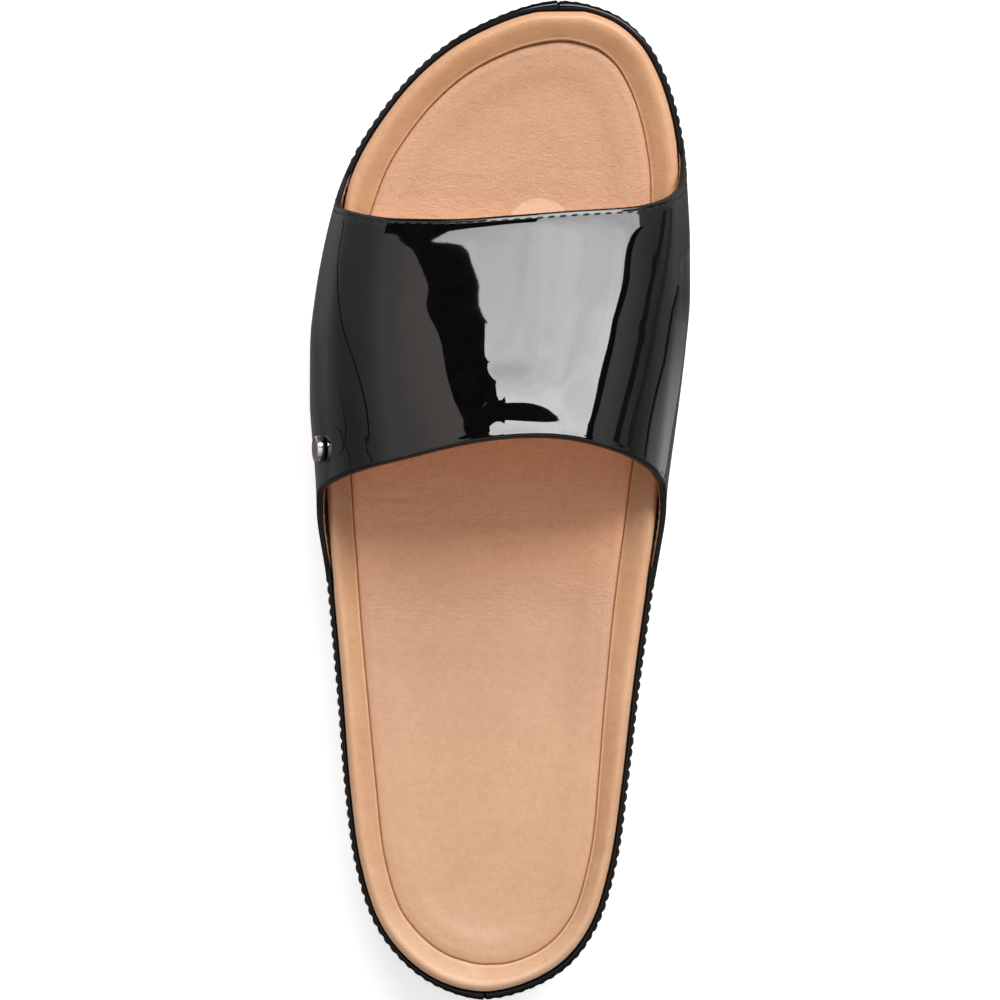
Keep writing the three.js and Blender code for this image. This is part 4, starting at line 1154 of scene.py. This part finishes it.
def reach_out(points, first, last):
    """a line carried on at both ends by a share of its length"""
    p = np.array(points)
    a, b = p[0] + (p[0] - p[3]) / 3 * len(p) * first, p[-1] + (p[-1] - p[-4]) / 3 * len(p) * last
    return np.concatenate([[a], p, [b]])


def ribbon(name, left, right, mat, first=0.1, last=0.1, far=2.6):
    """a card seen in the strap between two lines"""
    n = 28
    a = reach_out(mirror.around(resample(left, n), far), first, last)
    b = reach_out(mirror.around(resample(right, n), far), first, last)
    mesh = bpy.data.meshes.new(name)
    mesh.from_pydata(np.concatenate([a, b]).tolist(), [], [(i, i + 1, n + 3 + i, n + 2 + i) for i in range(n + 1)])
    mesh.materials.append(mat)
    down = mesh.attributes.new("down", "FLOAT", "POINT")
    down.data.foreach_set("value", np.tile(np.linspace(0, 1, n + 2), 2).tolist())
    o = bpy.data.objects.new(name, mesh)
    bpy.context.scene.collection.objects.link(o)
    o.visible_camera = o.visible_diffuse = o.visible_shadow = o.visible_transmission = False
    return o


def streak(name, line, width, mat, first=0.02, last=0.02):
    p = resample(line, 28)
    t = np.gradient(p, axis=0)
    t /= np.linalg.norm(t, axis=1)[:, None]
    side = np.stack([-t[:, 1], t[:, 0]], 1) * (np.interp(np.linspace(0, 1, 28), np.linspace(0, 1, len(width)), width) / 2)[:, None]
    return ribbon(name, p + side, p - side, mat, first, last)


def bright_glow():
    m = bpy.data.materials.new("softbox_face")
    m.use_nodes = True
    t = m.node_tree
    t.nodes.clear()
    e, out = t.nodes.new("ShaderNodeEmission"), t.nodes.new("ShaderNodeOutputMaterial")
    at = object_coords(t)
    axes = t.nodes.new("ShaderNodeSeparateXYZ")
    t.links.new(at, axes.inputs[0])
    fall = ramp(t, math_node(t, "MULTIPLY_ADD", axes.outputs["Y"], -1.6, 2.0), [(0.0, (0.56,) * 3), (0.18, (0.585,) * 3), (0.35, (0.64,) * 3), (0.53, (0.80, 0.80, 0.805)), (0.75, (0.93, 0.93, 0.94)), (0.92, (1.0, 1.0, 1.01))])
    squeezed = t.nodes.new("ShaderNodeMapping")
    put(squeezed, Scale=(1.0, 3.2, 1.0))
    t.links.new(at, squeezed.inputs["Vector"])
    soft = noise(t, 3.0, 2.0, 0.5, 0.8, vector=squeezed.outputs["Vector"])
    cloud = ramp(t, soft.outputs["Fac"], [(0.35, (0.91, 0.91, 0.915)), (0.62, (1.03, 1.03, 1.03))])
    rings = noise(t, 1.9, 1.0, 0.5, 1.6, vector=squeezed.outputs["Vector"])
    line = ramp(t, rings.outputs["Fac"], [(0.47, (1.0, 1.0, 1.0)), (0.488, (0.94, 0.94, 0.94)), (0.5, (1.0, 1.0, 1.0)), (0.56, (1.0, 1.0, 1.0)), (0.575, (0.95, 0.95, 0.95)), (0.585, (1.0, 1.0, 1.0))])
    t.links.new(mix(t, "MULTIPLY", 1.0, mix(t, "MULTIPLY", 1.0, fall, cloud), line), e.inputs["Color"])
    e.inputs["Strength"].default_value = 14.5
    t.links.new(e.outputs[0], out.inputs["Surface"])
    return m


mirror = Mirror()
BAND_LEFT = [(386, 225), (395, 231), (400, 239), (412, 249.5), (420, 260), (422.5, 280), (425, 300), (432, 320), (440, 340), (445, 365), (450, 382), (454, 405), (462, 426), (471, 435)]
BAND_RIGHT = [(430, 226), (442, 230), (455, 237.5), (465, 247.5), (471, 258), (472.5, 275), (472.5, 290), (475, 305), (482.5, 320), (489, 333), (491, 350), (492.5, 365), (494, 382), (495, 399), (500, 412), (503, 424), (505.5, 434)]
LINE_LEFT = [(637.5, 224), (631.7, 236.7), (627.5, 246.7), (625, 260), (622.5, 275), (620, 293), (615.8, 310), (611.7, 328), (607.5, 343), (603, 360), (600, 375), (596.7, 388), (595.3, 403), (590, 420), (586, 430), (584.7, 435)]
LINE_RIGHT = [(643, 224), (637.2, 239), (633, 251.7), (630.8, 265), (628, 280), (625.8, 296.7), (622.5, 311.7), (616.7, 331.7), (613, 346.7), (610, 360), (606.7, 375), (603, 388), (601.5, 403), (596, 418), (592, 428), (590.8, 435)]

def calm(points, times=2):
    p = np.array(points)
    for _ in range(times):
        p[1:-1] = p[:-2] * 0.25 + p[1:-1] * 0.5 + p[2:] * 0.25
    return list(p)


top = HOME[2] + HIGH


def at_top(x, y, z=0.0):
    return np.array([x, y, top + z])


left_, right_ = calm(mirror.overhead(LINE_LEFT)), calm(mirror.overhead(LINE_RIGHT))
inner_ = calm(mirror.overhead(BAND_RIGHT))
outer_ = calm(mirror.overhead(BAND_LEFT))
strip_ = [at_top(a * HIGH, b * HIGH) + (HOME[0], HOME[1], 0) for a, b in ((0.05, 0.92), (0.0, 0.93), (-0.1, 0.945), (-0.2, 0.96), (-0.34, 0.985), (-0.5, 1.0))]
def stretch(a, b, share):
    """past b, away from a"""
    return b + (b - a) * share


near_a = near_b = HOME[1] + HIGH * 0.562
far_back = [at_top(inner_[-1][0] + 0.01, near_a), at_top(left_[-1][0] - 0.01, near_b)]
far_front = [stretch(left_[1], left_[0], 1.0), at_top(left_[0][0] * 0.95, left_[0][1] * 1.5), at_top(strip_[0][0] + 0.02, strip_[0][1] * 1.4)]
bright = [*inner_, *far_back, *left_[::-1], *far_front, *strip_]
box_ = flat("softbox_face", bright, bright_glow())
dark = glow("flag_black", 0.02)
lower = np.array([0, 0, -0.01])
below = 0.30
flag = [
    *outer_, at_top(outer_[-1][0] - 0.02, below), at_top(right_[-1][0], below), at_top(left_[-1][0] - 0.01, near_b), far_back[0],
    *inner_[::-1], *strip_[::-1], at_top(strip_[0][0] + 0.02, strip_[0][1] * 1.4), at_top(strip_[0][0], 3.6), at_top(outer_[0][0] * 1.25, 3.6),
]
flag_ = flat("flag", [p + lower for p in flag], dark)
edge_ = flat("flag_edge", [p + lower for p in [*left_, far_back[1], at_top(right_[-1][0], below), *right_[::-1], stretch(right_[1], right_[0], 1.0), stretch(left_[1], left_[0], 1.0)]], dark)
for o in (box_, flag_, edge_):
    o.visible_camera = o.visible_diffuse = o.visible_shadow = o.visible_transmission = False

LAMP = [(-0.30, 0.45), (1.30, 0.45), (1.45, 1.0), (-0.35, 1.0)]
lamp = flat("softbox", [HOME + np.array([a * HIGH, b * HIGH, HIGH * 1.15]) for a, b in LAMP], glow("softbox_glow", 11.0, (1.0, 0.99, 0.97)))
lamp.visible_camera = lamp.visible_glossy = False

BROWN, UMBER, THIN = glow("streak_brown", 0.10, (1.0, 0.84, 0.72)), glow("streak_umber", 0.18, (1.0, 0.9, 0.8)), glow("streak_thin", 0.03)
streak("streak_a", [(664, 216), (661, 240), (655, 268), (649, 293), (645.5, 315), (641.5, 337), (637.5, 355), (632.5, 378), (627, 398), (620, 425), (615.5, 437)], [4.0, 4.5, 5.5, 6.0, 6.0], BROWN)
streak("streak_b", [(671, 216), (669.5, 240), (666, 268), (661, 293), (656, 320), (650, 352), (643, 385), (636, 412), (630, 436)], [3.0, 4.0, 4.0, 4.0, 5.0], UMBER)
streak("streak_c", [(677.2, 293), (672.5, 310), (668, 337), (664, 363), (658, 385), (651.7, 412), (648, 432), (646.7, 452)], [2.4, 2.6, 2.2, 1.8], THIN)
streak("streak_d", [(344, 222), (339.5, 248), (337.5, 265), (337.5, 290), (339.5, 310), (343, 330), (350, 350), (356.7, 370), (362.5, 390), (366.7, 410), (369, 431.7), (367.5, 451)], [0.8, 1.1, 1.5, 1.5], THIN)
streak("streak_e", [(338, 382), (343, 406.7), (346.5, 428), (343, 450), (340, 464)], [0.4, 0.8, 1.6], THIN)

def fading(name, stops):
    m = glow(name, 1.0)
    t = m.node_tree
    e = next(n for n in t.nodes if n.type == "EMISSION")
    t.links.new(ramp(t, attribute(t, "down"), stops), e.inputs["Color"])
    return m


ribbon("side_fill", [(683.5, 262), (681, 283), (674.5, 310), (670, 337), (666, 363), (660, 385), (653.7, 412), (650, 432), (648.7, 452)],
       [(690, 262), (689, 283), (687.5, 310), (685.5, 337), (682.5, 363), (679.5, 385), (675, 412), (671.5, 432), (668.5, 452)],
       fading("side_fill", [(0.0, (0.22, 0.22, 0.22)), (0.08, (0.16, 0.16, 0.16)), (0.2, (0.11, 0.11, 0.11)), (0.4, (0.19, 0.19, 0.195)), (0.75, (0.38, 0.38, 0.39)), (1.0, (0.46, 0.455, 0.45))]), 0.0, 0.25, 3.0)

world = bpy.data.worlds.new("studio")
bpy.context.scene.world = world
world.use_nodes = True
wt = world.node_tree
sky = wt.nodes["Background"]
dirs = wt.nodes.new("ShaderNodeTexCoord")
lean = wt.nodes.new("ShaderNodeVectorMath")
lean.operation = "DOT_PRODUCT"
lean.inputs[1].default_value = (0.0, 0.8, 0.6)
wt.links.new(dirs.outputs["Generated"], lean.inputs[0])
tones = [(-1.0, 0.10), (-0.5, 0.13), (-0.38, 0.27), (-0.28, 0.36), (-0.06, 0.38), (0.15, 0.56), (0.3, 0.70), (0.5, 0.85), (0.68, 0.96), (0.78, 1.0), (0.82, 1.17), (0.87, 1.4), (1.0, 1.45)]
warm = [(1.0, 0.99, 0.97), (1.0, 0.99, 0.97), (1.0, 0.99, 0.97), (1.0, 0.98, 0.96), (1.0, 0.98, 0.95), (1.0, 0.98, 0.95), (1.0, 0.98, 0.96), (1.0, 0.99, 0.98), (1.0, 0.98, 0.96), (1.0, 0.96, 0.93), (1.0, 0.92, 0.88), (1.0, 0.90, 0.85), (1.0, 0.92, 0.88)]
shade = ramp(wt, math_node(wt, "MULTIPLY_ADD", lean.outputs["Value"], 0.5, 0.5), [((z + 1) / 2, tuple(v / 2 * c for c in w)) for (z, v), w in zip(tones, warm)])
ahead = wt.nodes.new("ShaderNodeSeparateXYZ")
wt.links.new(dirs.outputs["Generated"], ahead.inputs[0])
wall = ramp(wt, ahead.outputs["Y"], [(0.76, (1.0, 1.0, 1.0)), (0.86, (0.18, 0.17, 0.16)), (1.0, (0.12, 0.11, 0.10))])
sides = ramp(wt, math_node(wt, "MULTIPLY_ADD", ahead.outputs["X"], 0.5, 0.5), [(0.0, (0.55,) * 3), (0.06, (0.66,) * 3), (0.14, (1.0,) * 3), (0.86, (1.0,) * 3), (0.95, (0.75,) * 3), (1.0, (0.65,) * 3)])
wt.links.new(mix(wt, "MULTIPLY", 1.0, mix(wt, "MULTIPLY", 1.0, shade, wall), sides), sky.inputs["Color"])
sky.inputs["Strength"].default_value = 2.0

scene = bpy.context.scene
scene.view_settings.view_transform = "Standard"
scene.view_settings.look = "None"
scene.view_settings.exposure = 0.0
scene.view_settings.gamma = 1.0

cam = bpy.data.cameras.new("camera")
cam.sensor_width = 36.0
cam.sensor_fit = "HORIZONTAL"
cam.lens = 36.0 * (1.5 - 0.028) / 0.2628
cam.clip_start, cam.clip_end = 0.05, 50.0
view = bpy.data.objects.new("camera", cam)
view.location = EYE
bpy.context.scene.collection.objects.link(view)
bpy.context.scene.camera = view
